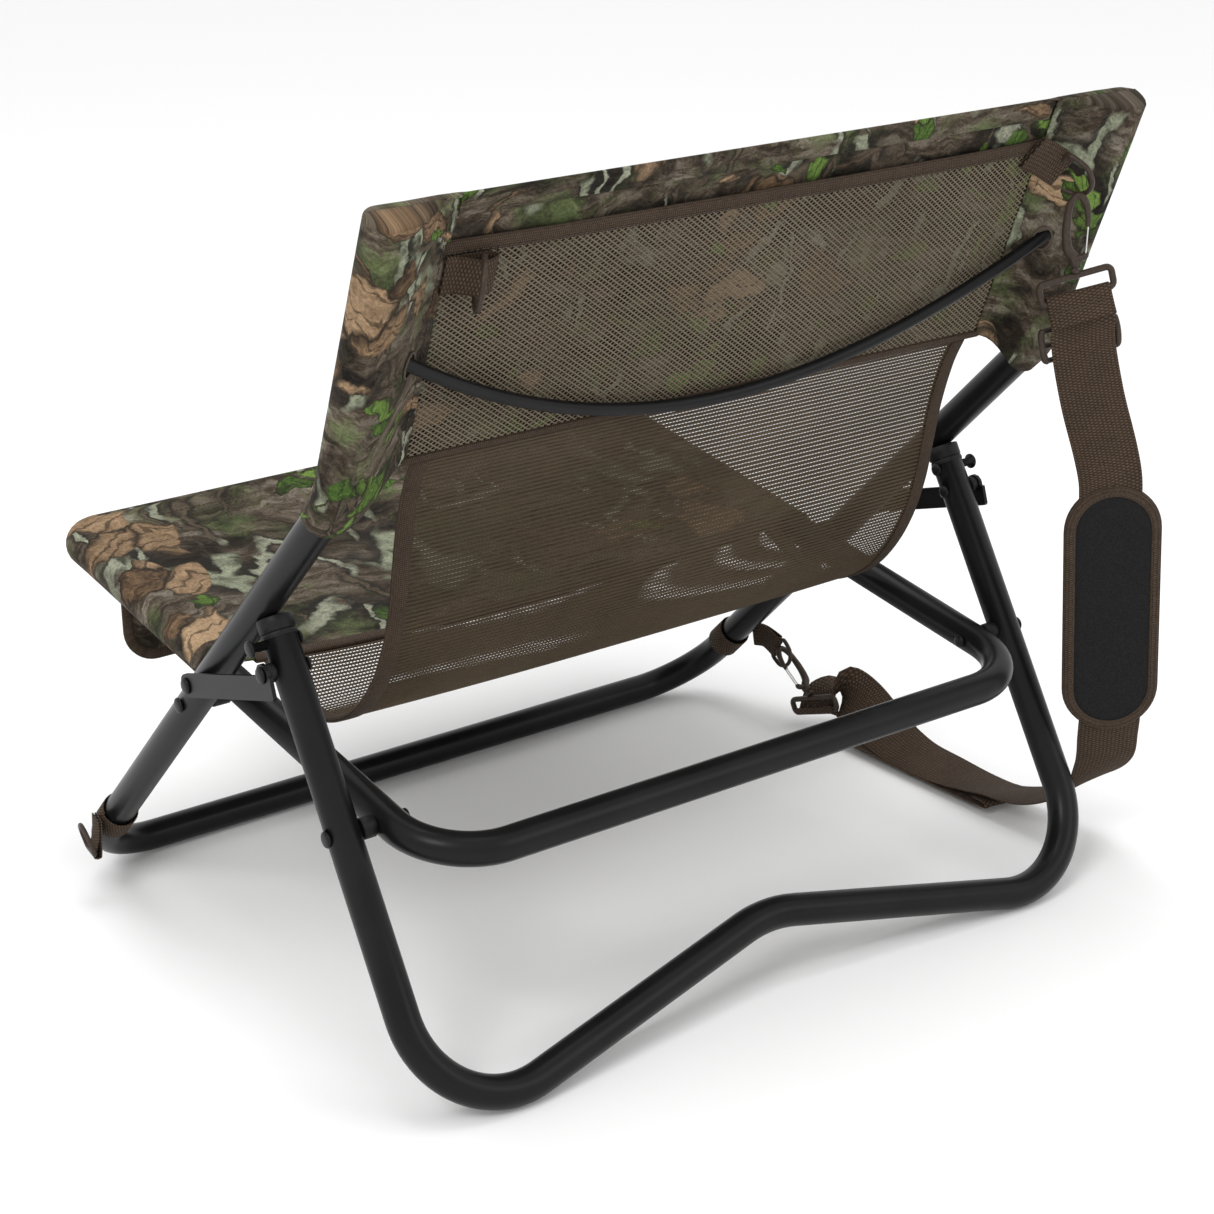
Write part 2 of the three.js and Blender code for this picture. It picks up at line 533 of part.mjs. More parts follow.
// upper end: webbing tab sewn to the panel, D-ring, snap hook, rectangular loop
const tabAt = (x, d, off) => {
  const p = along(along(upperBend, backDir, d), acrossBack, off);
  return vec(x, p.y, p.z);
};
const tabAcross = [0.36, 0.35, 0.86];
const tabLine = [[-247, 176, -7.2], [-259, 171, -6.6], [-271, 165, -4.5]].map((p) => tabAt(...p));
add('strap_tab_upper', ribbon(tabLine.map((p) => [...p.toArray(), ...tabAcross]), 30, 4.5, 4),
  brownWebbing);
const tabEnd = tabLine[2].clone().sub(tabLine[1]).normalize();
const ringTop = frameAt(along(tabLine[2], tabEnd, 10.2), vec(...tabAcross), vec(-0.45, 0.75, -0.5));
add('strap_ring_upper', dRing(ringTop, 34, 27, 2), brownPlastic);
const hookTop = frameAt(vec(-288, 518, 514), vec(-0.7, 0.7, 0.1), vec(0.02, 0.03, 1));
add('snap_hook_upper', hookBody(hookTop, 58, 15, 2.6), brownPlastic);
const gate = (f, length, opening) => rod(...pin(f, [[opening / 2 - 0.4, length * 0.2, 0],
  [opening / 2 + 0.3, length * 0.56, 0]]), 1.5, 8);
add('snap_gate_upper', gate(hookTop, 58, 15), steelWire);
const loopTop = frameAt(vec(-288, 518, 509.4), vec(-0.84, 0.48, 0.24), vec(-0.2, 0.12, -0.97));
add('strap_loop_upper', webLoop(loopTop, 55, 14, 2.6), brownPlastic);

// upper strap, pad and lower strap
const W0 = [-0.84, 0.48, 0.24], W1 = [-0.85, 0.5, 0.18], W2 = [-0.8, 0.58, 0.05];
add('strap_upper', ribbon([[-291.9, 520.3, 490.8, ...W0], [-300, 519.5, 452, ...W1], [-311, 521, 410, ...W2],
  [-322, 526, 370, ...W2], [-328, 528, 345, ...W2]], WEB_W, WEB_T, 12), brownWebbing);
add('strap_slider', ribbon([[-300, 510.5, 452, ...W1], [-303, 511, 440, ...W1], [-307, 512, 426, ...W1]],
  58, 4, 3), brownPlastic);
function stadium(f, width, length, thickness) {
  const outline = [];
  const r = width / 2;
  for (const [cy, a0] of [[length / 2 - r, 0], [-(length / 2 - r), Math.PI]]) {
    for (let k = 0; k <= 8; k++) {
      const a = a0 + Math.PI * k / 8;
      outline.push(new THREE.Vector2(r * Math.cos(a), cy + r * Math.sin(a)));
    }
  }
  const g = new THREE.ExtrudeGeometry(new THREE.Shape(outline),
    { depth: thickness, bevelEnabled: false, curveSegments: 1 });
  g.translate(0, 0, -thickness / 2);
  g.applyMatrix4(new THREE.Matrix4().makeBasis(f.u, f.v, f.w).setPosition(f.origin));
  return g;
}
const padFrame = frameAt(vec(-339, 527, 232), vec(-0.8, 0.58, 0.05), vec(0.07, 0.02, 1));
add('shoulder_pad', stadium(padFrame, 76, 212, 11), blackPad);
// the lower run drops from the pad, lies doubled along the floor and comes up to the lower loop
const FLAT = [-0.99, 0, -0.12];
add('strap_lower', ribbon([[-350, 521, 118, -0.8, 0.58, 0], [-357, 512, 90, -0.75, 0.5, 0.3],
  [-364, 488, 60, -0.85, 0.25, 0.3], [-365, 446, 32, -0.95, 0.1, 0.1], [-364, 404, 18, ...FLAT],
  [-363, 350, 11.5, ...FLAT], [-363, 290, 10.5, ...FLAT], [-363, 232, 14, ...FLAT],
  [-364.5, 203, 23, -0.95, 0.3, 0.05]], WEB_W, WEB_T, 40), brownWebbing);
add('strap_return', ribbon([[-362, 212, 5.4, ...FLAT], [-362, 240, 4.8, ...FLAT],
  [-362, 300, 4.8, ...FLAT], [-362, 350, 4.8, ...FLAT], [-362, 392, 5.2, ...FLAT]],
WEB_W, WEB_T, 12), brownWebbing);
const hookLow = frameAt(vec(-346, 152, 34), vec(1, 0, 0), vec(0.1, -0.72, 0.68));
add('snap_hook_lower', hookBody(hookLow, 52, 14, 2.4), brownPlastic);
add('snap_gate_lower', gate(hookLow, 52, 14), steelWire);
const loopLow = frameAt(along(hookLow.origin, hookLow.v, -5.8), vec(-0.09, 0.93, 0.33),
  vec(-0.1, 0.33, -0.94));
add('strap_loop_lower', webLoop(loopLow, 55, 11, 2.6), brownPlastic);

// webbing loops round the front legs near the floor, with their rings
for (const [side, s] of SIDES) {
  const centre = at(along(frontFoot, frontDir, 84), s * FRONT_HALF);
  const path = new StationPath([along(centre, frontDir, -13), along(centre, frontDir, 13)],
    [frontDir, frontDir], vec(1, 0, 0));
  add(`foot_loop_${side}`, sweep(ringShape(SLEEVE_R, SLEEVE_R + 2.4, SLEEVE_SIDES), path), brownWebbing);
}
const footTab = (name, line, across) => add(name, ribbon(line.map((p) => [...p, ...across]),
  22, 4, 3), brownWebbing);
footTab('foot_tab_left', [[341.5, 66, 76], [343, 66, 56], [344, 63, 38]], [0.2, 0.95, 0.1]);
footTab('foot_tab_right', [[-341, 76, 73], [-341.5, 92, 76], [-341.3, 104, 72]], [0, 0.3, 0.95]);
const ringLow = frameAt(vec(-341.6, 110, 70), vec(0, 0.6, 0.8), vec(0, 0.8, -0.6));
add('strap_ring_lower', dRing(ringLow, 26, 20, 1.9), brownPlastic);
const ringLeft = frameAt(vec(349, 66, 48), vec(0.2, 0.97, 0.1), vec(0.22, -0.15, 0.95));
add('foot_ring_left', dRing(ringLeft, 26, 24, 1.9), brownPlastic);

// the same tab and D-ring at the other end of the pocket
add('strap_tab_left', ribbon([[264, 158, -7.2], [254, 158, -7], [246, 158, -5.5]].map(
  (p) => [...tabAt(...p).toArray(), ...backDir.toArray()]), 28, 4.5, 3), brownWebbing);
const ringTopLeft = frameAt(tabAt(240, 158, -3.5), backDir, vec(0.5, 0.8, -0.33));
add('strap_ring_left', dRing(ringTopLeft, 34, 27, 2), brownPlastic);

export default group;
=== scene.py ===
# A low folding hunting chair: black tube frame, camouflage seat and back, mesh sling and pocket, carry strap.
# The part's frame is millimetres here and metres in Blender; +Z is up and the sitter faces -Y.
import math

import bpy
from mathutils import Matrix, Vector, noise


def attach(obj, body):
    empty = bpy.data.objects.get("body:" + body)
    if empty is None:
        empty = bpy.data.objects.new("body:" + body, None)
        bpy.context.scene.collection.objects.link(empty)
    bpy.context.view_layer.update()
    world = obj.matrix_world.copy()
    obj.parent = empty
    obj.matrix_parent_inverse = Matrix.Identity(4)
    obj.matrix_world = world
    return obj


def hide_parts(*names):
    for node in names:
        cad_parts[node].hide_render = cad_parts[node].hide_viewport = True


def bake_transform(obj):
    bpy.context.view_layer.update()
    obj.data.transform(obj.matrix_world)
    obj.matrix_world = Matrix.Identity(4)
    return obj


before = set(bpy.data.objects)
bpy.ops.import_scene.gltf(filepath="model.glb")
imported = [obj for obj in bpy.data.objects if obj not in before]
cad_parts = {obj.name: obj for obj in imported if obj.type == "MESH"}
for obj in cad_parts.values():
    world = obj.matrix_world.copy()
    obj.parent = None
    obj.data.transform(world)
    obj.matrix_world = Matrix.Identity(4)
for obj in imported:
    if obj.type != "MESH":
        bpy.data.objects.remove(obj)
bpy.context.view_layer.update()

MM = 0.001

# ---------- driving dimensions of the frame ----------
TUBE_R = 12.7
FRONT_HALF, FRONT_ANGLE, FRONT_LEG = 322.0, 43.77, 620.0
BACK_ANGLE, BACK_TUBE_LENGTH, BEND_R = 67.7, 208.0, 63.0
REAR_HALF, REAR_ANGLE, REAR_TUBE_END, REAR_RISE, REAR_BEND_R, REAR_MIDDLE_R = 319.0, 120.42, 375.0, 74.2, 73.0, 110.0
SEAT_HALF, SEAT_ANGLE, SEAT_REAR, SEAT_FRONT, SEAT_BEND_R = 282.0, 9.15, 275.5, 285.0, 58.0
PIVOT_SEAT, PIVOT_LINK = 306.0, 344.0
REAR_PIVOT, LINK_ON_REAR, STUD_ON_REAR = 225.96, 122.4, 142.0
BAR_R, BAR_HALF, BAR_DROP = 4.75, 305.0, 103.0
SLING_HALF, POCKET_HALF = 250.0, 262.0
SIDES = (("left", 1), ("right", -1))


def vec(x, y, z):
    return Vector((x, y, z))


def lean(degrees):
    a = math.radians(degrees)
    return vec(0, math.cos(a), math.sin(a))


def at(p, x):
    return vec(x, p.y, p.z)


FRONT_FOOT = vec(0, 0, TUBE_R)
FRONT_DIR, BACK_DIR, REAR_DIR = lean(FRONT_ANGLE), lean(BACK_ANGLE), lean(REAR_ANGLE)
BACK_OUT = lean(BACK_ANGLE - 90)            # rearward, square to the back
UPPER_BEND = FRONT_FOOT + FRONT_DIR * FRONT_LEG
BACK_TOP = UPPER_BEND + BACK_DIR * BACK_TUBE_LENGTH
REAR_FOOT = vec(0, 542.86, -3.75)
SEAT_DIR, SEAT_UP = lean(-SEAT_ANGLE), lean(90 - SEAT_ANGLE)
SEAT_PIVOT = FRONT_FOOT + FRONT_DIR * PIVOT_SEAT
LINK_PIVOT = FRONT_FOOT + FRONT_DIR * PIVOT_LINK
REAR_PIVOT_AT = REAR_FOOT + REAR_DIR * REAR_PIVOT
LINK_REAR = REAR_PIVOT_AT + REAR_DIR * LINK_ON_REAR
STUD_AT = REAR_PIVOT_AT + REAR_DIR * STUD_ON_REAR
SEAT_REAR_AT = SEAT_PIVOT + SEAT_DIR * SEAT_REAR
SEAT_FRONT_AT = SEAT_PIVOT - SEAT_DIR * SEAT_FRONT


# ---------- materials ----------
class Finish:
    """A procedural material, with short names for its nodes."""

    def __init__(self, name, colour, roughness, **sockets):
        self.mat = bpy.data.materials.new(name)
        self.mat.use_nodes = True
        self.tree = self.mat.node_tree
        self.shader = self.tree.nodes["Principled BSDF"]
        self.put(self.shader.inputs["Base Color"], (*colour, 1))
        self.put(self.shader.inputs["Roughness"], roughness)
        for key, value in sockets.items():
            self.put(self.shader.inputs[key.replace("_", " ")], value)

    def put(self, socket, value):
        if isinstance(value, bpy.types.NodeSocket):
            self.tree.links.new(value, socket)
        else:
            socket.default_value = value

    def node(self, kind, sockets, **settings):
        n = self.tree.nodes.new("ShaderNode" + kind)
        for key, value in settings.items():
            setattr(n, key, value)
        for key, value in sockets.items():
            self.put(n.inputs[key], value)
        return n

    def uv(self):
        return self.node("UVMap", {}, uv_map="cloth").outputs["UV"]

    def position(self):
        return self.node("TexCoord", {}).outputs["Object"]

    def mapped(self, vector, scale=(1, 1, 1), turn=0.0, offset=(0, 0, 0)):
        return self.node("Mapping", {"Vector": vector, "Scale": scale, "Rotation": (0, 0, turn),
                                     "Location": offset}).outputs["Vector"]

    def math(self, how, a, b=0.0, clamp=False):
        return self.node("Math", {0: a, 1: b}, operation=how, use_clamp=clamp).outputs[0]

    def noise(self, vector, scale, detail=3.0, rough=0.55, distortion=0.0):
        return self.node("TexNoise", {"Vector": vector, "Scale": scale, "Detail": detail,
                                      "Roughness": rough, "Distortion": distortion})

    def ramp(self, value, *stops):
        n = self.node("ValToRGB", {"Fac": value})
        while len(n.color_ramp.elements) < len(stops):
            n.color_ramp.elements.new(0.5)
        for element, (place, colour) in zip(n.color_ramp.elements, stops):
            element.position = place
            element.color = (*colour, 1) if isinstance(colour, tuple) else (colour, colour, colour, 1)
        return n.outputs["Color"]

    def step(self, value, low, high):
        n = self.node("MapRange", {"Value": value, "From Min": low, "From Max": high, "To Min": 0.0,
                                   "To Max": 1.0}, interpolation_type="SMOOTHSTEP")
        return n.outputs["Result"]

    def mix(self, share, a, b, how="MIX"):
        n = self.node("Mix", {}, data_type="RGBA", blend_type=how)
        for key, value in (("Factor_Float", share), ("A_Color", a), ("B_Color", b)):
            socket = next(s for s in n.inputs if s.identifier == key)
            if isinstance(value, tuple) and len(value) == 3:
                value = (*value, 1)
            self.put(socket, value)
        return next(s for s in n.outputs if s.identifier == "Result_Color")

    def bump(self, height, distance, strength=0.6):
        n = self.node("Bump", {"Height": height, "Distance": distance, "Strength": strength})
        self.put(self.shader.inputs["Normal"], n.outputs["Normal"])

    def colour(self, value):
        self.put(self.shader.inputs["Base Color"], value)

    def roughness(self, value):
        self.put(self.shader.inputs["Roughness"], value)


def powder_paint():
    f = Finish("black_paint", (0.006, 0.006, 0.0065), 0.4, Specular_IOR_Level=0.16)
    p = f.position()
    grain = f.noise(p, 900, 2)
    wear = f.noise(p, 14, 4)
    f.colour(f.ramp(wear.outputs["Fac"], (0.3, (0.0045, 0.0045, 0.005)), (0.75, (0.009, 0.009, 0.0095))))
    f.roughness(f.math("MULTIPLY_ADD", wear.outputs["Fac"], 0.14))
    f.tree.nodes[-1].inputs[2].default_value = 0.24
    f.bump(grain.outputs["Fac"], 0.00012, 0.35)
    return f.mat


def steel(name, colour, roughness, metallic):
    f = Finish(name, colour, roughness, Metallic=metallic, Specular_IOR_Level=0.2)
    p = f.position()
    brushed = f.noise(f.mapped(p, (300, 2600, 2600)), 1.0, 2)
    f.roughness(f.math("MULTIPLY_ADD", brushed.outputs["Fac"], 0.2))
    f.tree.nodes[-1].inputs[2].default_value = roughness - 0.1
    f.bump(brushed.outputs["Fac"], 0.00004, 0.3)
    return f.mat


def plastic(name, low, high, roughness):
    f = Finish(name, low, roughness, Specular_IOR_Level=0.2)
    n = f.noise(f.position(), 420, 3)
    f.colour(f.ramp(n.outputs["Fac"], (0.35, low), (0.7, high)))
    f.bump(n.outputs["Fac"], 0.0001, 0.3)
    return f.mat


def weave(name, dark, light, pitch_u, pitch_v, depth=0.0004, rough=0.85):
    """Ribbed webbing: short picks across the tape, each column set half a pick from the next."""
    f = Finish(name, dark, rough, Specular_IOR_Level=0.2)
    split = f.node("SeparateXYZ", {"Vector": f.uv()})
    column = f.math("MULTIPLY", split.outputs[0], 1 / pitch_u)
    along = f.math("MULTIPLY", split.outputs[1], 1 / pitch_v)
    odd = f.math("MULTIPLY", f.math("FLOOR", column), 0.5)
    pick = f.math("PINGPONG", f.math("ADD", along, odd), 0.5)
    rib = f.math("PINGPONG", column, 0.5)
    height = f.math("MULTIPLY", f.math("MULTIPLY", pick, 2.0), f.math("ADD", f.math("MULTIPLY", rib, 1.2), 0.4))
    fibre = f.noise(f.mapped(f.uv(), (900, 240, 1)), 1.0, 3).outputs["Fac"]
    fade = f.noise(f.uv(), 30, 3).outputs["Fac"]
    # the colour follows the rib height, so the low places between picks and ribs are painted darker: painted shade in
    # the weave's grooves, mixed with the fibres' own grain
    tone = f.math("ADD", f.math("MULTIPLY", height, 0.55), f.math("MULTIPLY", fibre, 0.45))
    base = f.ramp(tone, (0.2, tuple(c * 0.3 for c in dark)), (0.48, dark), (0.8, light))
    f.colour(f.mix(f.step(fade, 0.3, 0.75), base, f.mix(1.0, base, (0.8, 0.8, 0.82), "MULTIPLY")))
    f.bump(f.math("ADD", height, f.math("MULTIPLY", fibre, 0.25)), depth, 0.7)
    return f.mat


def yarn(name, dark, light):
    f = Finish(name, dark, 0.75, Specular_IOR_Level=0.2)
    p = f.position()
    fine = f.noise(p, 1400, 2).outputs["Fac"]
    broad = f.noise(p, 9, 3).outputs["Fac"]
    tone = f.math("ADD", f.math("MULTIPLY", fine, 0.6), f.math("MULTIPLY", broad, 0.4))
    f.colour(f.ramp(tone, (0.35, dark), (0.65, light)))
    f.bump(fine, 0.0002, 0.5)
    return f.mat


def camouflage(name, offset, tan_spots=(), green_spots=(), turn=0.5, size=1.0, green_cut=0.93):
    """Printed bark, dead leaves, lichened twigs and green leaves, on a fine plain weave."""
    f = Finish(name, (0.1, 0.09, 0.07), 0.88, Specular_IOR_Level=0.2)
    plain = f.uv()
    uv = f.mapped(plain, (size, size, 1), offset=(*offset, 0))

    def bend(vector, size, amount):
        shift = f.node("VectorMath", {0: f.noise(vector, size, 4, 0.6).outputs["Color"], 1: (0.5, 0.5, 0.5)},
                       operation="SUBTRACT").outputs[0]
        shift = f.node("VectorMath", {0: shift, 3: amount}, operation="SCALE").outputs[0]
        return f.node("VectorMath", {0: vector, 1: shift}, operation="ADD").outputs[0]

    def both(a, b):
        return f.math("MULTIPLY", a, b)

    def darker(share, base, colour):
        return f.mix(share, base, f.mix(1.0, base, colour, "MULTIPLY"))

    def spots(places):
        """How near a point is to the named places on the cloth, 0 to 1."""
        total = None
        for x, y, r in places:
            away = f.node("VectorMath", {0: plain, 1: (x, y, 0)}, operation="DISTANCE").outputs["Value"]
            near = f.step(away, r, 0.0)
            total = near if total is None else f.math("MAXIMUM", total, near)
        return total

    bent = bend(bend(uv, 9, 0.07), 45, 0.012)
    # grey-brown bark, streaked one way, with rough plates and dark furrows
    streak = f.noise(f.mapped(bent, (10, 38, 1), turn), 1.0, 10, 0.72, 0.4).outputs["Fac"]
    bark = f.ramp(streak, (0.34, (0.012, 0.010, 0.008)), (0.44, (0.048, 0.037, 0.026)),
                  (0.52, (0.105, 0.082, 0.060)), (0.60, (0.175, 0.150, 0.118)), (0.72, (0.27, 0.25, 0.20)))
    furrow = f.noise(f.mapped(bent, (45, 150, 1), turn + 0.2), 1.0, 6, 0.75).outputs["Fac"]
    bark = darker(f.step(furrow, 0.56, 0.42), bark, (0.42, 0.38, 0.33))
    shadow = f.noise(bend(uv, 20, 0.03), 10, 5, 0.6).outputs["Fac"]
    bark = darker(f.step(shadow, 0.50, 0.40), bark, (0.20, 0.18, 0.15))
    moss = f.noise(f.mapped(bent, offset=(3, 7, 0)), 13, 7, 0.7).outputs["Fac"]
    bark = f.mix(both(f.step(moss, 0.49, 0.66), 0.75), bark, f.ramp(streak, (0.35, (0.03, 0.045, 0.015)),
                                                                    (0.6, (0.13, 0.17, 0.065)), (0.8, (0.22, 0.25, 0.13))))

    def twigs(scale, turn_by, width, colour, share):
        nonlocal bark
        crooked = bend(bent, 60, 0.012)
        lines = f.node("TexVoronoi", {"Vector": f.mapped(crooked, (scale, scale * 0.36, 1), turn_by), "Scale": 1.0},
                       feature="DISTANCE_TO_EDGE").outputs["Distance"]
        patch = f.step(f.noise(f.mapped(uv, offset=(turn_by, scale, 0)), 13, 3).outputs["Fac"], 0.52, 0.58)
        bark = f.mix(both(both(f.step(lines, width * 2.3, width), patch), 0.85), bark, (0.014, 0.012, 0.009))
        grain = f.noise(bent, 130, 5, 0.7).outputs["Fac"]
        tone = f.ramp(grain, (0.32, tuple(c * 0.35 for c in colour)), (0.58, colour))
        bark = f.mix(both(both(f.step(lines, width, width * 0.5), patch), share), bark, tone)

    twigs(13, 1.1, 0.055, (0.27, 0.29, 0.20), 0.9)
    twigs(21, -0.5, 0.04, (0.33, 0.34, 0.25), 0.8)
    twigs(34, 0.3, 0.05, (0.10, 0.075, 0.05), 0.8)

    def leaves(scale, turn_by, places, reach, low, high, vein, cut):
        nonlocal bark
        m = f.mapped(bend(bent, 30, 0.02), (scale, scale * 1.6, 1), turn_by)
        cell = f.node("TexVoronoi", {"Vector": m, "Scale": 1.0, "Randomness": 1.0}, feature="F1")
        edge = f.node("TexVoronoi", {"Vector": m, "Scale": 1.0, "Randomness": 1.0},
                      feature="DISTANCE_TO_EDGE").outputs["Distance"]
        pick = f.node("SeparateColor", {"Color": cell.outputs["Color"]})
        chosen = f.step(f.math("ADD", pick.outputs[0], f.math("MULTIPLY", spots(places), reach)), cut, cut + 0.02)
        fine = f.noise(m, 5.5, 8, 0.72).outputs["Fac"]
        tone = f.math("ADD", f.math("MULTIPLY", pick.outputs[1], 0.35), f.math("MULTIPLY", fine, 0.8))
        body = f.ramp(tone, (0.30, vein), (0.46, low), (0.78, high))
        ribs = f.node("TexWave", {"Vector": f.mapped(m, (1, 1, 1), 0.8), "Scale": 0.9, "Distortion": 5.0,
                                  "Detail": 3.0, "Detail Scale": 1.6}).outputs["Fac"]
        body = f.mix(both(f.step(ribs, 0.13, 0.02), 0.7), body, vein)
        bark = f.mix(both(f.step(edge, -0.02, 0.12), chosen), f.mix(chosen, bark, (0.016, 0.012, 0.008)), body)

    leaves(23, 0.3, tan_spots, 0.62, (0.12, 0.074, 0.040), (0.36, 0.245, 0.145), (0.032, 0.019, 0.011), 0.90)
    leaves(46, -0.7, green_spots, 0.62, (0.045, 0.085, 0.015), (0.15, 0.24, 0.05), (0.014, 0.03, 0.008), green_cut)
    print_grain = f.noise(plain, 420, 4, 0.7).outputs["Fac"]
    bark = f.mix(0.6, bark, f.mix(1.0, bark, f.ramp(print_grain, (0.3, 0.35), (0.7, 1.6)), "MULTIPLY"))
    f.colour(bark)
    split = f.node("SeparateXYZ", {"Vector": plain})
    threads = f.math("ADD", f.math("PINGPONG", f.math("MULTIPLY", split.outputs[0], 1400.0), 0.5),
                     f.math("PINGPONG", f.math("MULTIPLY", split.outputs[1], 1400.0), 0.5))
    crease = f.noise(plain, 26, 4, 0.6).outputs["Fac"]
    f.bump(f.math("ADD", f.math("MULTIPLY", threads, 0.12), crease), 0.0011, 0.4)
    return f.mat


PAINT = powder_paint()
STEEL = steel("black_steel", (0.006, 0.006, 0.0065), 0.36, 0.1)
WIRE = steel("steel_wire", (0.62, 0.61, 0.59), 0.3, 1.0)
CAP = plastic("black_plastic", (0.006, 0.006, 0.0065), (0.010, 0.010, 0.011), 0.48)
BUCKLE = plastic("brown_plastic", (0.034, 0.023, 0.017), (0.052, 0.037, 0.028), 0.40)
WEB = weave("brown_webbing", (0.060, 0.038, 0.024), (0.135, 0.096, 0.066), 0.0032, 0.0024, 0.0008)
TAPE = weave("brown_tape", (0.060, 0.040, 0.026), (0.120, 0.086, 0.060), 0.0018, 0.0016, 0.0004)
NETTING = yarn("brown_mesh", (0.13, 0.102, 0.070), (0.215, 0.178, 0.128))
SLING = yarn("brown_sling_mesh", (0.043, 0.029, 0.016), (0.092, 0.067, 0.041))
THREAD = yarn("sewing_thread", (0.05, 0.036, 0.027), (0.10, 0.078, 0.06))
BACK_CAMO = camouflage("camo_back", (0.3, 0.1), tan_spots=((0.075, 0.16, 0.13), (0.42, 0.12, 0.09)),
                       green_spots=((0.05, 0.0, 0.09), (0.75, 0.13, 0.12), (0.42, 0.02, 0.08)))
SEAT_CAMO = camouflage("camo_seat", (2.2, 1.4), tan_spots=((0.05, 0.24, 0.12), (0.06, 0.16, 0.10), (0.05, 0.08, 0.08)),
                       green_spots=((0.3, 0.3, 0.12),), turn=-0.5, size=0.66, green_cut=0.97)


def neoprene():
    f = Finish("black_pad", (0.006, 0.006, 0.0065), 0.8, Specular_IOR_Level=0.2)
    cells = f.node("TexVoronoi", {"Vector": f.mapped(f.uv(), (700, 700, 1)), "Scale": 1.0}).outputs["Distance"]
    f.colour(f.ramp(cells, (0.1, (0.003, 0.003, 0.0035)), (0.7, (0.009, 0.009, 0.010))))
    f.bump(cells, 0.0002, 0.5)
    return f.mat


PAD = neoprene()


# ---------- mesh building ----------
def build(name, verts, faces, material, uvs=None, body=None, replaces=(), flat=False):
    mesh = bpy.data.meshes.new(name)
    mesh.from_pydata([v * MM for v in verts], [], faces)
    mesh.materials.append(material)
    mesh.polygons.foreach_set("use_smooth", [not flat] * len(faces))
    layer = mesh.uv_layers.new(name="cloth")
    if uvs:
        for loop in mesh.loops:
            layer.data[loop.index].uv = [c * MM for c in uvs[loop.vertex_index]]
    obj = bpy.data.objects.new(name, mesh)
    bpy.context.scene.collection.objects.link(obj)
    if replaces:
        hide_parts(*replaces)
    if body:
        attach(obj, body)
    return obj


def resample(points, count, closed=False):
    """A smooth line through the points, at even steps along it."""
    pts = [Vector(p) for p in points]
    n = len(pts)
    fine = []
    spans = n if closed else n - 1
    for i in range(spans):
        get = (lambda k: pts[k % n]) if closed else (lambda k: pts[min(max(k, 0), n - 1)])
        p0, p1, p2, p3 = get(i - 1), get(i), get(i + 1), get(i + 2)
        if not closed and i == 0:
            p0 = p1 * 2 - p2
        if not closed and i == spans - 1:
            p3 = p2 * 2 - p1
        for k in range(24):
            t = k / 24
            fine.append(0.5 * (2 * p1 + (p2 - p0) * t + (2 * p0 - 5 * p1 + 4 * p2 - p3) * t * t
                               + (3 * p1 - p0 - 3 * p2 + p3) * t ** 3))
    fine.append(pts[0].copy() if closed else pts[-1].copy())
    lengths = [0.0]
    for a, b in zip(fine, fine[1:]):
        lengths.append(lengths[-1] + (b - a).length)
    out, j = [], 0
    steps = count if closed else count - 1
    for k in range(count):
        want = lengths[-1] * k / steps
        while j < len(lengths) - 2 and lengths[j + 1] < want:
            j += 1
        gap = lengths[j + 1] - lengths[j]
        out.append(fine[j].lerp(fine[j + 1], (want - lengths[j]) / gap if gap else 0))
    return out


def tangents_of(points, closed=False):
    n = len(points)
    out = []
    for i in range(n):
        a = points[(i - 1) % n] if closed or i > 0 else points[0]
        b = points[(i + 1) % n] if closed or i < n - 1 else points[-1]
        out.append((b - a).normalized())
    return out


def carried(tangents, first):
    """The first side direction, carried along the line without twist."""
    side = (first - tangents[0] * first.dot(tangents[0])).normalized()
    out = [side]
    for a, b in zip(tangents, tangents[1:]):
        side = a.rotation_difference(b) @ side
        side = (side - b * side.dot(b)).normalized()
        out.append(side)
    return out


def bent_path(corners, radii, step=4):
    """Straight runs between corners, each corner rounded to its radius."""
    points = [corners[0].copy()]
    dirs = [(b - a).normalized() for a, b in zip(corners, corners[1:])]
    for i, r in enumerate(radii):
        a, b, corner = dirs[i], dirs[i + 1], corners[i + 1]
        turn = a.angle(b)
        reach = r * math.tan(turn / 2)
        axis = a.cross(b).normalized()
        start = corner - a * reach
        centre = start + axis.cross(a) * r
        count = max(2, math.ceil(math.degrees(turn) / step))
        for k in range(count + 1):
            points.append(Matrix.Rotation(turn * k / count, 3, axis) @ (start - centre) + centre)
    points.append(corners[-1].copy())
    return points


def strip_faces(rows, columns, wrap_rows=False, wrap_columns=False):
    faces = []
    for i in range(rows if wrap_rows else rows - 1):
        for j in range(columns if wrap_columns else columns - 1):
            a, b = i * columns, (i + 1) % rows * columns
            k = (j + 1) % columns
            faces.append((a + j, a + k, b + k, b + j))
    return faces


def sweep_data(points, section, first, closed=False, scales=None, sides=None):
    """A closed section [(side, up)...] carried along a line."""
    tangents = tangents_of(points, closed)
    sides = sides or carried(tangents, first)
    verts, uvs, length = [], [], 0.0
    for i, (p, t, s) in enumerate(zip(points, tangents, sides)):
        s = (s - t * s.dot(t)).normalized()
        up = t.cross(s)
        size = scales[i] if scales else 1.0
        if i:
            length += (p - points[i - 1]).length
        for a, b in section:
            verts.append(p + s * a * size + up * b * size)
            uvs.append((a, length))
    n = len(section)
    faces = strip_faces(len(points), n, closed, True)
    if not closed:
        faces.append(tuple(range(n)))
        faces.append(tuple(reversed(range(len(verts) - n, len(verts)))))
    return verts, faces, uvs


def joined(*datas):
    verts, faces, uvs = [], [], []
    for v, f, u in datas:
        base = len(verts)
        verts += v
        uvs += u
        faces += [tuple(i + base for i in face) for face in f]
    return verts, faces, uvs


def circle(r, sides, flatten=1.0):
    return [(r * math.cos(2 * math.pi * k / sides), r * flatten * math.sin(2 * math.pi * k / sides))
            for k in range(sides)]


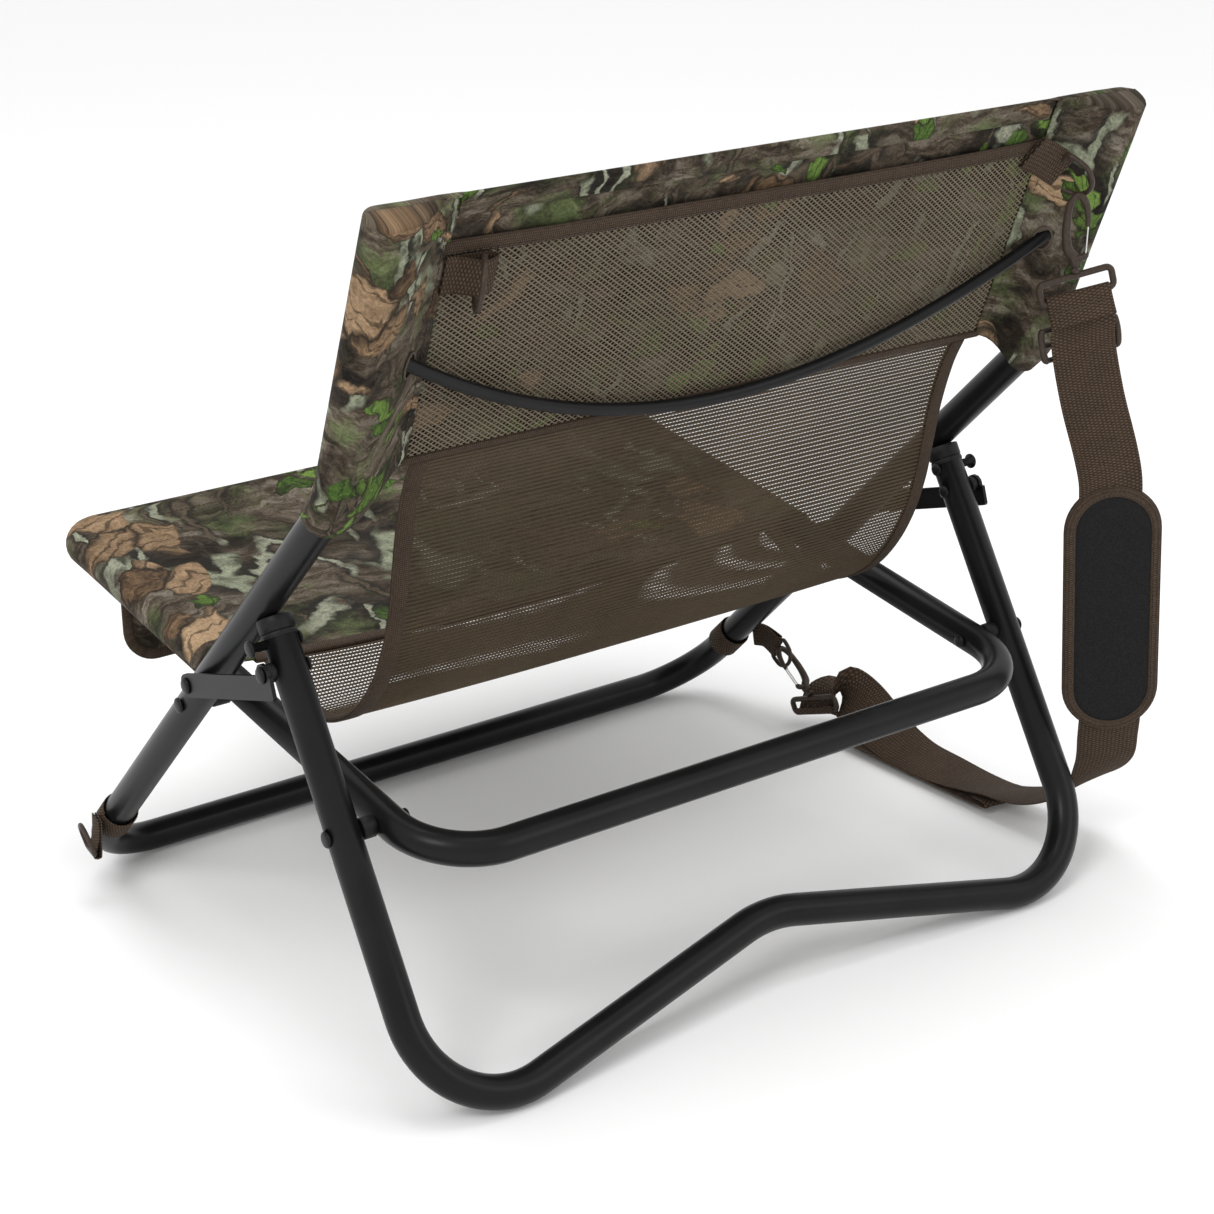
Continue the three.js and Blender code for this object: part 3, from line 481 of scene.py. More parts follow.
def tube(name, corners, radii, first, node, body, r=TUBE_R, sides=40):
    v, f, u = sweep_data(bent_path(corners, radii), circle(r, sides), first)
    return build(name, v, f, PAINT, u, body, (node,))


def tape_section(width, thickness):
    """A flat band with rounded edges."""
    w, t = width / 2, thickness / 2
    half = [(-w + t, -t), (0, -t), (w - t, -t), (w - t * 0.3, -t * 0.7), (w, 0), (w - t * 0.3, t * 0.7)]
    return half + [(-a, -b) for a, b in half]


def band_data(stations, width, thickness, count, closed=False):
    """A band of webbing through stations [(point, across)...]."""
    points = resample([s[0] for s in stations], count, closed)
    across = resample([s[1] for s in stations], count, closed)
    return sweep_data(points, tape_section(width, thickness), across[0], closed, sides=across), points


def length_of(points):
    return sum((b - a).length for a, b in zip(points, points[1:]))


def cloth_data(rows, thickness, lengths=None):
    """A sheet given by rows of points, thickened evenly to both sides and closed round its edge."""
    m, n = len(rows), len(rows[0])
    top, bottom = [], []
    for i in range(m):
        for j in range(n):
            along = rows[min(i + 1, m - 1)][j] - rows[max(i - 1, 0)][j]
            across = rows[i][min(j + 1, n - 1)] - rows[i][max(j - 1, 0)]
            if along.length < 1e-6:
                along = rows[min(i + 2, m - 1)][j] - rows[max(i - 2, 0)][j]
            normal = across.cross(along).normalized()
            top.append(rows[i][j] + normal * thickness / 2)
            bottom.append(rows[i][j] - normal * thickness / 2)
    mid = rows[m // 2]
    us = [0.0]
    for a, b in zip(mid, mid[1:]):
        us.append(us[-1] + (b - a).length)
    vs = [0.0]
    for i in range(1, m):
        vs.append(vs[-1] + (rows[i][n // 2] - rows[i - 1][n // 2]).length)
    uvs = [(us[j], vs[i]) for i in range(m) for j in range(n)]
    faces = strip_faces(m, n)
    k = m * n
    faces += [tuple(i + k for i in reversed(f)) for f in strip_faces(m, n)]
    rim = [j for j in range(n)] + [i * n + n - 1 for i in range(1, m)]
    rim += [(m - 1) * n + j for j in range(n - 2, -1, -1)] + [i * n for i in range(m - 2, 0, -1)]
    for a, b in zip(rim, rim[1:] + rim[:1]):
        faces.append((b, a, a + k, b + k))
    return top + bottom, faces, uvs + uvs


def soft_noise(p, size, seed):
    """Smooth noise in -1..1 with bumps about size mm across."""
    return noise.noise(Vector(p) / size + Vector((seed, seed * 1.7, seed * 0.3)))


def stitches(name, lines, body, pitch=4.2, dash=2.9, r=0.42):
    """Dashes of thread along lines [(points, normal)...]."""
    parts = []
    for points, normal in lines:
        total = length_of(points)
        dense = resample(points, max(3, int(total / 1.5)))
        gap = total / (len(dense) - 1)
        position = pitch / 2
        while position + dash < total:
            i, j = int(position / gap), min(len(dense) - 1, int((position + dash) / gap) + 1)
            a, b = dense[i], dense[j]
            mid = (a + b) / 2 + normal * r * 0.9
            axis = (b - a).normalized()
            side = axis.cross(normal).normalized()
            verts = [mid - axis * dash / 2, mid + axis * dash / 2]
            for w in (-0.28, 0.28):
                verts += [mid + axis * dash * w + side * r, mid + axis * dash * w + normal * r,
                          mid + axis * dash * w - side * r, mid + axis * dash * w - normal * r]
            faces = []
            for k in range(4):
                q = (k + 1) % 4
                faces += [(0, 2 + q, 2 + k), (2 + k, 2 + q, 6 + q, 6 + k), (1, 6 + k, 6 + q)]
            parts.append((verts, faces, [(0, 0)] * 10))
            position += pitch
    v, f, u = joined(*parts)
    return build(name, v, f, THREAD, u, body)


# ---------- tube frame ----------
front_tube = tube("front_frame_smooth", [at(BACK_TOP, FRONT_HALF), at(UPPER_BEND, FRONT_HALF), at(FRONT_FOOT, FRONT_HALF),
                  at(FRONT_FOOT, -FRONT_HALF), at(UPPER_BEND, -FRONT_HALF), at(BACK_TOP, -FRONT_HALF)],
                  [BEND_R] * 4, vec(1, 0, 0), "front_frame_tube", "front_frame")
rear_tube = tube("rear_legs_smooth", [at(REAR_FOOT + REAR_DIR * REAR_TUBE_END, REAR_HALF), at(REAR_FOOT, REAR_HALF),
                 REAR_FOOT + REAR_DIR * REAR_RISE, at(REAR_FOOT, -REAR_HALF),
                 at(REAR_FOOT + REAR_DIR * REAR_TUBE_END, -REAR_HALF)],
                 [REAR_BEND_R, REAR_MIDDLE_R, REAR_BEND_R], vec(1, 0, 0), "rear_leg_tube", "rear_legs")
SEAT_JOINT = SEAT_PIVOT - SEAT_DIR * 160
seat_tube = tube("seat_rear_smooth", [at(SEAT_JOINT + SEAT_DIR * 0.3, SEAT_HALF), at(SEAT_REAR_AT, SEAT_HALF),
                 at(SEAT_REAR_AT, -SEAT_HALF), at(SEAT_JOINT + SEAT_DIR * 0.3, -SEAT_HALF)],
                 [SEAT_BEND_R] * 2, vec(1, 0, 0), "seat_rear_tube", "seat_frame")
seat_front_tube = tube("seat_front_smooth", [at(SEAT_JOINT, SEAT_HALF), at(SEAT_FRONT_AT, SEAT_HALF),
                       at(SEAT_FRONT_AT, -SEAT_HALF), at(SEAT_JOINT, -SEAT_HALF)],
                       [SEAT_BEND_R] * 2, vec(1, 0, 0), "seat_front_tube", "seat_frame")
BAR_END = UPPER_BEND + BACK_DIR * 114
BAR_DIR = lean(BACK_ANGLE - 182)
bar_line = []
for k in range(49):
    u = 1 - k / 24
    bar_line.append(at(BAR_END, u * BAR_HALF) + BAR_DIR * BAR_DROP * (1 - u * u))
v, f, u = sweep_data(bar_line, circle(BAR_R, 20), vec(0, 0, 1))
back_bar = build("back_bar_smooth", v, f, PAINT, u, "front_frame", ("back_bar",))


# ---------- rivets, spacers, studs, caps and links ----------
def turned(name, profile, centre, side, material, body, node, sides=36):
    """A turned piece on an axis along X; profile points are (distance along X, radius)."""
    rows = []
    for x, r in profile:
        for k in range(sides):
            a = 2 * math.pi * k / sides
            rows.append(vec(side * x, centre.y + max(r, 0.02) * math.cos(a), centre.z + max(r, 0.02) * math.sin(a)))
    faces = strip_faces(len(profile), sides, False, True)
    if side < 0:
        faces = [tuple(reversed(q)) for q in faces]
    faces.append(tuple(range(sides)) if side < 0 else tuple(reversed(range(sides))))
    last = len(rows) - sides
    faces.append(tuple(reversed(range(last, last + sides))) if side < 0 else tuple(range(last, last + sides)))
    return build(name, rows, faces, material, None, body, (node,))


def dome(x, r, height, out):
    """Profile points of a smooth domed head that ends at x."""
    return [(x - out * height, r), (x - out * height * 0.55, r * 0.99), (x - out * height * 0.3, r * 0.9),
            (x - out * height * 0.1, r * 0.68), (x - out * height * 0.02, r * 0.35), (x, 0)]


WALL = 12.95
for side, s in SIDES:
    stack = (("seat_pivot", SEAT_PIVOT, SEAT_HALF - WALL - 2.8, FRONT_HALF + WALL + 2.8, "front_frame"),
             ("rear_pivot", REAR_PIVOT_AT, SEAT_HALF - WALL - 2.8, REAR_HALF + WALL + 2.8, "rear_legs"),
             ("link_rear", LINK_REAR, REAR_HALF - WALL - 2.8, 341.5 + 2.8, "rear_legs"),
             ("link_front", LINK_PIVOT, FRONT_HALF + WALL + 0.3, 341.5 + 2.8, f"link_{side}"))
    for label, centre, inner, outer, body in stack:
        inner_head = [(inner, 3.2), (inner + 1.0, 5.2), (inner + 2.6, 5.2), (inner + 2.6, 3.5)]
        if label == "link_front":
            inner_head = [(inner, 3.5)]
        turned(f"{label}_rivet_{side}_smooth", inner_head + [(outer - 2.6, 3.5)] + dome(outer, 6.2, 2.5, 1), centre, s,
               STEEL, body, f"{label}_rivet_{side}")
    turned(f"stop_stud_{side}_smooth", [(REAR_HALF - WALL - 2.8, 3.2), (REAR_HALF - WALL - 1.8, 5.2),
           (REAR_HALF - WALL - 0.2, 5.2), (REAR_HALF - WALL - 0.2, 3.5), (343.3, 3.5)] + dome(346, 6.2, 2.6, 1),
           STUD_AT, s, STEEL, "rear_legs", f"stop_stud_{side}")
    for label, centre, x0, x1, r, body in (
            ("seat_pivot", SEAT_PIVOT, SEAT_HALF + WALL + 0.1, FRONT_HALF - WALL - 0.1, 8.0, "front_frame"),
            ("rear_pivot", REAR_PIVOT_AT, SEAT_HALF + WALL + 0.1, REAR_HALF - WALL - 0.1, 8.0, "rear_legs"),
            ("link_front", LINK_PIVOT, FRONT_HALF + WALL + 0.1, 338.4, 7.0, f"link_{side}"),
            ("link_rear", LINK_REAR, REAR_HALF + WALL + 0.1, 338.4, 7.0, "rear_legs")):
        soft = min(0.6, (x1 - x0) / 3)
        turned(f"{label}_spacer_{side}_smooth", [(x0, 3.6), (x0, r - soft), (x0 + soft, r), (x1 - soft, r),
               (x1, r - soft), (x1, 3.6)], centre, s, CAP, body, f"{label}_spacer_{side}")
    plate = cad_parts[f"link_plate_{side}"]
    plate.data.materials.clear()
    plate.data.materials.append(STEEL)
    bevel = plate.modifiers.new("soft edges", "BEVEL")
    bevel.width, bevel.segments, bevel.limit_method, bevel.angle_limit = 0.6 * MM, 3, "ANGLE", math.radians(32)
    # cap whose top is hollowed to the front leg's round
    foot = at(REAR_FOOT, s * REAR_HALF)
    leg = at(FRONT_FOOT, s * FRONT_HALF)
    side_dir, face_dir = vec(1, 0, 0), REAR_DIR.cross(vec(1, 0, 0))
    CAP_LOW, CAP_HIGH, CAP_R = REAR_TUBE_END + 0.4, 386.0, 13.3

    def saddle(r, a):
        """The cap's point at this radius and angle, below the front leg."""
        flat = foot + (side_dir * math.cos(a) + face_dir * math.sin(a)) * r
        h = CAP_HIGH
        while h > CAP_LOW + 0.8:
            away = flat + REAR_DIR * h - leg
            if (away - FRONT_DIR * away.dot(FRONT_DIR)).length > TUBE_R + 0.35:
                break
            h -= 0.2
        return flat, h

    turns = [2 * math.pi * k / 48 for k in range(48)]
    rings = []
    for r, drop in ((CAP_R - 0.8, None), (CAP_R, None), (CAP_R, 0.7), (CAP_R - 0.25, 0.3), (CAP_R - 0.8, 0.0),
                    (9.0, 0.0), (5.0, 0.0), (0.05, 0.0)):
        low = CAP_LOW if r < CAP_R else CAP_LOW + 0.5
        rings.append([saddle(r, a)[0] + REAR_DIR * (low if drop is None else saddle(r, a)[1] - drop) for a in turns])
    verts = [p for ring in rings for p in ring]
    faces = strip_faces(len(rings), 48, False, True)
    faces += [tuple(range(48)), tuple(reversed(range(len(verts) - 48, len(verts))))]
    faces = [tuple(reversed(face)) for face in faces]
    build(f"leg_cap_{side}_smooth", verts, faces, CAP, None, "rear_legs", (f"rear_leg_cap_{side}",))
    # collar line where the cap's sleeve meets the tube
    leg_top = at(REAR_FOOT, s * REAR_HALF) + REAR_DIR * (REAR_TUBE_END - 0.6)
    ring = [leg_top + REAR_DIR * d for d in (-3.2, -2.6, -0.4, 0.4)]
    v, f, u = sweep_data(ring, circle(13.25, 40), vec(1, 0, 0), scales=[0.962, 1.0, 1.0, 0.965])
    build(f"cap_collar_{side}", v, f, CAP, u, "rear_legs")


# ---------- back panel ----------
ARC = math.radians(BACK_ANGLE - FRONT_ANGLE)
REACH = BEND_R * math.tan(ARC / 2)


def upright(d):
    """Point and rearward direction at distance d along the leg and upright from the bend's corner."""
    if d <= -REACH:
        return UPPER_BEND + FRONT_DIR * d, lean(FRONT_ANGLE - 90)
    if d >= REACH:
        return UPPER_BEND + BACK_DIR * d, BACK_OUT
    share = (d + REACH) / (2 * REACH)
    angle = FRONT_ANGLE + (BACK_ANGLE - FRONT_ANGLE) * share
    start = UPPER_BEND - FRONT_DIR * REACH
    centre = start + lean(FRONT_ANGLE + 90) * BEND_R
    return centre + lean(angle - 90) * BEND_R, lean(angle - 90)


def smooth(a, b, x):
    t = min(1.0, max(0.0, (x - a) / (b - a)))
    return t * t * (3 - 2 * t)


SLEEVE = 14.4
SAG = 15.0                                  # of the seat cloth between the arms
PANEL_TOP = 215.5
half_section = [(262, -12.2), (267, -11.2), (273, -8.6), (279, -5), (285, -0.8), (291, 3.4), (297, 7.2), (303, 10.2),
                (309, 12.4)]
for k in range(19):
    a = math.radians(106 - 196 * k / 18)
    half_section.append((FRONT_HALF + SLEEVE * math.cos(a), SLEEVE * math.sin(a)))
front_run = [(FRONT_HALF - 8 - (2 * FRONT_HALF - 16) * k / 50, -SLEEVE) for k in range(51)]
section = half_section + front_run + [(-x, off) for x, off in reversed(half_section)]


def panel_point(x, off, v):
    """v runs 0 at the lower edge to 1 at the top, and on to 1.06 over the closed tops of the sleeves."""
    low = 6 - 31 * smooth(264, 318, abs(x))
    inside = smooth(255, 268, abs(x))
    d = low + (PANEL_TOP - low) * min(v, 1.0)
    over = max(0.0, v - 1.0) / 0.06
    squeeze = 1.0 - inside * (1 - math.sqrt(max(0.0, 1 - over * over)))
    middle = -6.0
    off = middle + (off - middle) * squeeze
    d += over * 3.0 * inside
    if abs(x) > FRONT_HALF:
        x = math.copysign(FRONT_HALF + (abs(x) - FRONT_HALF) * (1 - 0.12 * over * over), x)
    p, out = upright(d)
    q = at(p, x) + out * off
    tube_part = smooth(300, 312, abs(x))
    ripple = 0.9 * soft_noise(q, 46, 3.1) + 0.45 * soft_noise(q, 19, 8.2)
    ripple *= (1 - 0.75 * tube_part)
    pull = 1.3 * math.exp(-((d - 6) / 26) ** 2) * soft_noise((x * 1.0, 0, 5), 17, 2.0)
    return q + out * ((ripple + pull) if off > -12.5 or abs(x) > 255 else ripple * 0.45)


levels = [k / 44 for k in range(45)] + [1 + 0.06 * math.sin(math.pi / 2 * k / 5) for k in range(1, 6)]
rows = [[panel_point(x, off, level) for x, off in section] for level in levels]
v, f, u = cloth_data(rows, 1.3)
back_panel = build("back_panel_cloth", v, f, BACK_CAMO, u, "front_frame", ("back_panel",))


def back_line(x0, x1, d0, d1, off, count=40):
    return [at(upright(d0 + (d1 - d0) * k / count)[0], x0 + (x1 - x0) * k / count)
            + upright(d0 + (d1 - d0) * k / count)[1] * off for k in range(count + 1)]


seams = [(back_line(-258, 258, 207, 207, -13.1), BACK_OUT), (back_line(-258, 258, 210, 210, -13.1), BACK_OUT)]
for side, s in SIDES:
    seams.append((back_line(s * 268, s * 268, 14, 209, -9.9), BACK_OUT))
stitches("back_seams", seams, "front_frame")
# folded hem along the top, on the rear
hem = [[at(upright(d)[0], x) + BACK_OUT * off for x in [-259 + 518 * k / 40 for k in range(41)]]
       for d, off in ((199.5, -13.5), (200, -12.9), (206, -12.7), (212, -12.8), (215.5, -13.2), (216.2, -14.2))]
v, f, u = cloth_data(hem, 0.8)
back_hem = build("back_top_hem", v, f, BACK_CAMO, [(a + 60, b + 200) for a, b in u], "front_frame")
# bound slits where the curved bar enters the sleeves
for side, s in SIDES:
    u_entry = 284 / BAR_HALF
    at_entry = at(BAR_END, s * 284) + BAR_DIR * BAR_DROP * (1 - u_entry ** 2)
    run = (vec(s * BAR_HALF, 0, 0) - BAR_DIR * 2 * BAR_DROP * u_entry).normalized()
    flap = (vec(s * 6, 0, 0) + BACK_OUT * 4.2).normalized()
    ring_u = BACK_DIR
    ring = [at_entry + BACK_OUT * 1.2 + ring_u * 9.5 * math.cos(a) + flap * 7.2 * math.sin(a)
            for a in [2 * math.pi * k / 36 for k in range(36)]]
    v, f, u = sweep_data(ring, circle(0.9, 8), run, closed=True)
    build(f"slit_edge_{side}", v, f, THREAD, u, "front_frame")


# ---------- pocket netting and its binding ----------
def strand(points, side, up, width, thickness):
    """One flat thread of a net: a closed lens-shaped section along a line."""
    w, t = width / 2, thickness / 2
    verts, faces = [], []
    for p in points:
        verts += [p - side * w, p - up * t, p + side * w, p + up * t]
    faces = strip_faces(len(points), 4, False, True)
    faces += [(0, 1, 2, 3), tuple(len(verts) - k for k in (1, 2, 3, 4))]
    return verts, faces, [(0, 0)] * len(verts)


POCKET_LOW, POCKET_HIGH = 7.0, 173.0
NET_PITCH = 5.6


def pocket_offset(x, d):
    """The pocket stands off the panel a little, most at its top."""
    height = (d - POCKET_LOW) / (POCKET_HIGH - POCKET_LOW)
    side = 1 - (x / POCKET_HALF) ** 4
    return -12.6 + 3.6 * side * height ** 2.5 + 0.5 * side * soft_noise((x, d, 0), 60, 1.3)


parts = []
height = POCKET_HIGH - POCKET_LOW
for lean_way in (1, -1):
    slope = 0.75
    reach = height / slope
    start = -POCKET_HALF - reach
    while start < POCKET_HALF + reach:
        lo, hi = 0.0, 1.0
        x_of = lambda t: start + lean_way * reach * (t - 0.5) + reach / 2
        ts = [k / 160 for k in range(161) if abs(x_of(k / 160)) <= POCKET_HALF]
        if len(ts) > 3:
            t0, t1 = ts[0], ts[-1]
            n = max(3, int((t1 - t0) * 26))
            line = []
            for k in range(n + 1):
                t = t0 + (t1 - t0) * k / n
                d = POCKET_LOW + height * t
                p, out = upright(d)
                line.append(at(p, x_of(t)) + out * (pocket_offset(x_of(t), d) + 0.12 * lean_way))
            direction = (line[-1] - line[0]).normalized()
            parts.append(strand(line, direction.cross(BACK_OUT).normalized(), BACK_OUT, 1.2, 0.8))
        start += NET_PITCH
v, f, u = joined(*parts)
pocket = build("pocket_netting", v, f, NETTING, u, "front_frame", ("back_mesh_pocket",))

binding_line = [(-266 + 532 * k / 60, 177.2) for k in range(61)]
rows = []
for d, lift in ((172.2, -0.2), (172.6, 1.1), (175, 1.45), (179, 1.45), (181.8, 1.2), (182.4, 0.1), (182.0, -1.3)):
    rows.append([at(upright(d)[0], x) + BACK_OUT * (pocket_offset(x, 172) + lift) for x, _ in binding_line])
v, f, u = cloth_data(rows, 0.9)
pocket_binding = build("pocket_top_binding", v, f, TAPE, [(b, a) for a, b in u], "front_frame",
                       ("pocket_binding",))
stitches("pocket_stitches", [([at(upright(174.2)[0], x) + BACK_OUT * (pocket_offset(x, 172) + 1.9)
                               for x, _ in binding_line], BACK_OUT)], "front_frame")
# the pocket's lower seam
rows = []
for d, lift in ((2.5, -1.6), (4, 1.2), (10, 1.6), (11.5, 0.2)):
    rows.append([at(upright(d)[0], x) + upright(d)[1] * (-12.6 + lift) for x, _ in binding_line])
v, f, u = cloth_data(rows, 0.8)
low_seam = build("pocket_lower_seam", v, f, TAPE, [(b, a) for a, b in u], "front_frame")

# ---------- rear sling ----------
SLING_LINE = [(203, 224), (206, 223), (232, 216), (262, 212), (292, 215), (320, 225), (345, 242), (367, 267),
              (384, 296), (396, 328), (404, 362), (412, 396), (424, 430), (435.5, 451.5)]
RIB_PITCH, WARP_PITCH = 3.6, 3.1
profile = resample([vec(0, y, z) for y, z in SLING_LINE], 400)
profile_length = length_of(profile)
slopes = tangents_of(profile)


def sling_point(x, s, lift=0.0):
    """x across, s along the profile, lift on the outer side."""
    place = s / profile_length * (len(profile) - 1)
    i = min(len(profile) - 2, int(place))
    p = profile[i].lerp(profile[i + 1], place - i)
    t = slopes[i].lerp(slopes[i + 1], place - i).normalized()
    out = vec(0, t.z, -t.y)
    share = s / profile_length
    ends = math.sin(math.pi * min(1, max(0, share)))
    wave = ends * (0.6 * soft_noise((x, s, 4), 140, 5.0) + 0.12 * soft_noise((x, s * 0.4, 9), 60, 2.0))
    # the cloth bellies a little more in the middle
    belly = ends * 3.0 * (1 - (x / SLING_HALF) ** 2)
    # at its front the sling meets the sagging rear edge of the seat cloth
    rise = 3.1 + SLEEVE - SAG * (1 - (x / SEAT_HALF) ** 2) ** 0.8
    p = at(p, x) + vec(0, 0, 1) * rise * (1 - smooth(0, 80, s))
    return p + out * (lift + wave + belly), t, out


parts = []
count = int(profile_length / RIB_PITCH)
for i in range(count + 1):
    s = i * profile_length / count
    line = [sling_point(-SLING_HALF + 2 * SLING_HALF * k / 22, s, 0.25) for k in range(23)]
    parts.append(strand([p for p, _, _ in line], line[0][1], line[0][2], 3.1, 1.5))
for j in range(int(2 * SLING_HALF / WARP_PITCH) + 1):
    x = -SLING_HALF + j * WARP_PITCH
    line = [sling_point(x, profile_length * k / 58, -0.15) for k in range(59)]
    verts, faces = [], []
    for p, t, out in line:
        verts += [p - vec(0.6, 0, 0), p - out * 0.4, p + vec(0.6, 0, 0), p + out * 0.4]
    faces = strip_faces(len(line), 4, False, True)
    faces += [(0, 1, 2, 3), tuple(len(verts) - k for k in (1, 2, 3, 4))]
    parts.append((verts, faces, [(0, 0)] * len(verts)))
v, f, u = joined(*parts)
sling = build("rear_sling_weave", v, f, SLING, u, None, ("rear_sling_mesh",))
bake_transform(sling)
for side, s in SIDES:
    rows = []
    for dx, lift in ((-9, 1.1), (-8.6, 1.6), (-4, 1.7), (3.4, 1.6), (4.6, 0), (3.4, -1.6), (-4, -1.7), (-8.6, -1.6)):
        rows.append([sling_point(s * (SLING_HALF + 0.6 + dx), profile_length * k / 80, lift)[0] for k in range(81)])
    v, f, u = cloth_data(rows if s > 0 else rows[::-1], 0.7)
    edge = build(f"sling_edge_{side}", v, f, TAPE, [(b, a) for a, b in u], None,
                 (f"sling_binding_{side}",))
    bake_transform(edge)

# ---------- seat cloth ----------
CLOTH_REAR = SEAT_PIVOT - SEAT_DIR * 17
arm_points = []                             # the left arm's crest line, from the rear to the front bar
arm_rear = 17.0
CLOTH_CORNER = 22.0                          # the cloth's corners are sewn squarer than the tube's bends
arm_len = SEAT_FRONT - CLOTH_CORNER
crest = []
for k in range(31):
    d = arm_rear + (arm_len - arm_rear) * k / 30
    crest.append((SEAT_HALF, -d, 0.0))
for k in range(1, 13):
    a = math.pi / 2 * k / 12
    crest.append((SEAT_HALF - CLOTH_CORNER + CLOTH_CORNER * math.cos(a), -arm_len - CLOTH_CORNER * math.sin(a), a))


def seat_point(x, d, h):
    return at(SEAT_PIVOT + SEAT_DIR * d + SEAT_UP * h, x)


COLUMNS = 44
ROUND = [math.radians(90 - 13.5 * k) for k in range(1, 18)]   # from the crest outwards and under
rows = []
for x, d, turn in crest:
    out = (math.cos(turn), -math.sin(turn))
    ring = []
    for a in ROUND:
        r = SLEEVE + 0.35 * soft_noise((x, d, a * 20), 30, 4)
        ring.append((x + out[0] * r * math.cos(a), d + out[1] * r * math.cos(a), r * math.sin(a)))
    left = [seat_point(*p) for p in reversed(ring)]
    right = [seat_point(-p[0], p[1], p[2]) for p in ring]
    share = min(1.0, (SEAT_FRONT + d) / 120)
    middle = []
    for j in range(COLUMNS + 1):
        t = 1 - 2 * j / COLUMNS
        sag = SAG * (1 - t * t) ** 0.8 * math.sin(math.pi / 2 * share) if abs(t) < 1 else 0
        ripple = (1 - t ** 4) * share * (1.6 * soft_noise((x * t, d, 2), 75, 7) + 0.7 * soft_noise((x * t, d, 6), 30, 1))
        middle.append(seat_point(x * t, d, SLEEVE - sag + ripple))
    rows.append(left + middle + right)
# over the front bar and under it
n_side = len(ROUND)
for a in ROUND[:14]:
    row = []
    x, d, turn = crest[-1]
    for j, _ in enumerate(rows[-1]):
        if j < n_side:
            b = ROUND[n_side - 1 - j]
            swap = max(0.0, 1 - (math.pi / 2 - b) / (math.pi / 2 - a)) if (math.pi / 2 - b) < (math.pi / 2 - a) else 0.0
            row.append(seat_point(x, -SEAT_FRONT - SLEEVE * math.cos(max(a, b) if False else b if b < a else a),
                                  SLEEVE * math.sin(b if b < a else a)))
        elif j >= len(rows[-1]) - n_side:
            b = ROUND[j - (len(rows[-1]) - n_side)]
            row.append(seat_point(-x, -SEAT_FRONT - SLEEVE * math.cos(b if b < a else a),
                                  SLEEVE * math.sin(b if b < a else a)))
        else:
            t = 1 - 2 * (j - n_side) / COLUMNS
            row.append(seat_point(x * t, -SEAT_FRONT - SLEEVE * math.cos(a), SLEEVE * math.sin(a)))
    rows.append(row)
main_rows = rows[:len(crest)]
wrap_rows = [[p for p in r[n_side:-n_side]] for r in rows[len(crest) - 1:]]
v1 = cloth_data(main_rows, 1.3)
base_v = sum((a - b).length for a, b in zip([r[40] for r in main_rows], [r[40] for r in main_rows][1:]))
v2 = cloth_data(wrap_rows, 1.3)
side_u = length_of(main_rows[20][:n_side + 1])
v2 = (v2[0], v2[1], [(a + side_u + 30, b + base_v) for a, b in v2[2]])
v, f, u = joined(v1, v2)
seat_cloth = build("seat_cloth_panel", v, f, SEAT_CAMO, u, "seat_frame", ("seat_cloth",))
seat_seams = []
for side, s in SIDES:
    seat_seams.append(([seat_point(s * (SEAT_HALF - 15), -d, 11.2 - 1.0) for d in range(22, 222, 10)], SEAT_UP))
seat_seams.append(([seat_point(x, -SEAT_FRONT + 17, SLEEVE - 0.9) for x in range(-215, 216, 10)], SEAT_UP))
stitches("seat_seams", seat_seams, "seat_frame")
rows = [[seat_point(x, -17 + d, h) for x in [-262 + 524 * k / 40 for k in range(41)] for h in [
    SLEEVE - SAG * (1 - (x / SEAT_HALF) ** 2) ** 0.8 + lift]] for d, lift in
    ((-7, 1.2), (-6, 1.7), (0, 1.9), (3, 1.5), (3.8, 0), (3, -1.4), (-6, -1.6))]
v, f, u = cloth_data(rows, 0.8)
seat_binding = build("seat_rear_binding", v, f, TAPE, [(b, a) for a, b in u], "seat_frame")

# ---------- front skirt ----------
skirt_top = SEAT_FRONT_AT.z - 17.5
skirt_y = SEAT_FRONT_AT.y - 2
SKIRT_HALF, SKIRT_DROP, CORNER = 240.0, 104.0, 26.0


def skirt_edge(x):
    inside = max(0.0, abs(x) - (SKIRT_HALF - CORNER))
    return SKIRT_DROP - CORNER + math.sqrt(max(0.0, CORNER ** 2 - inside ** 2))


def skirt_point(x, depth):
    sway = depth / SKIRT_DROP
    return vec(x, skirt_y + sway * (3.0 * soft_noise((x, 0, 3), 110, 6) + 1.0 * soft_noise((x, depth, 1), 40, 2)),
               skirt_top - depth)


xs = [SKIRT_HALF * math.sin(math.pi / 2 * (1 - 2 * k / 60)) for k in range(61)]
rows = [[skirt_point(x, -4 + (skirt_edge(x) + 4) * k / 16) for x in xs] for k in range(17)]
v, f, u = cloth_data(rows, 1.2)
skirt = build("front_skirt_cloth", v, f, SEAT_CAMO, [(a + 300, b + 420) for a, b in u], "seat_frame",
              ("front_skirt",))
outline = [skirt_point(SKIRT_HALF, k * (SKIRT_DROP - CORNER) / 6) for k in range(6)]
outline += [skirt_point(x, skirt_edge(x)) for x in xs]
outline += [skirt_point(-SKIRT_HALF, (6 - k) * (SKIRT_DROP - CORNER) / 6) for k in range(1, 7)]
outline = resample(outline, 160)
tape = [(-1.4, -4.5), (-1.6, 3.2), (-0.8, 4.4), (0.8, 4.4), (1.6, 3.2), (1.4, -4.5)]
v, f, u = sweep_data(outline, tape, vec(0, -1, 0), sides=[vec(0, -1, 0)] * len(outline))
skirt_binding = build("skirt_edge_binding", v, f, TAPE, u, "seat_frame", ("skirt_binding",))


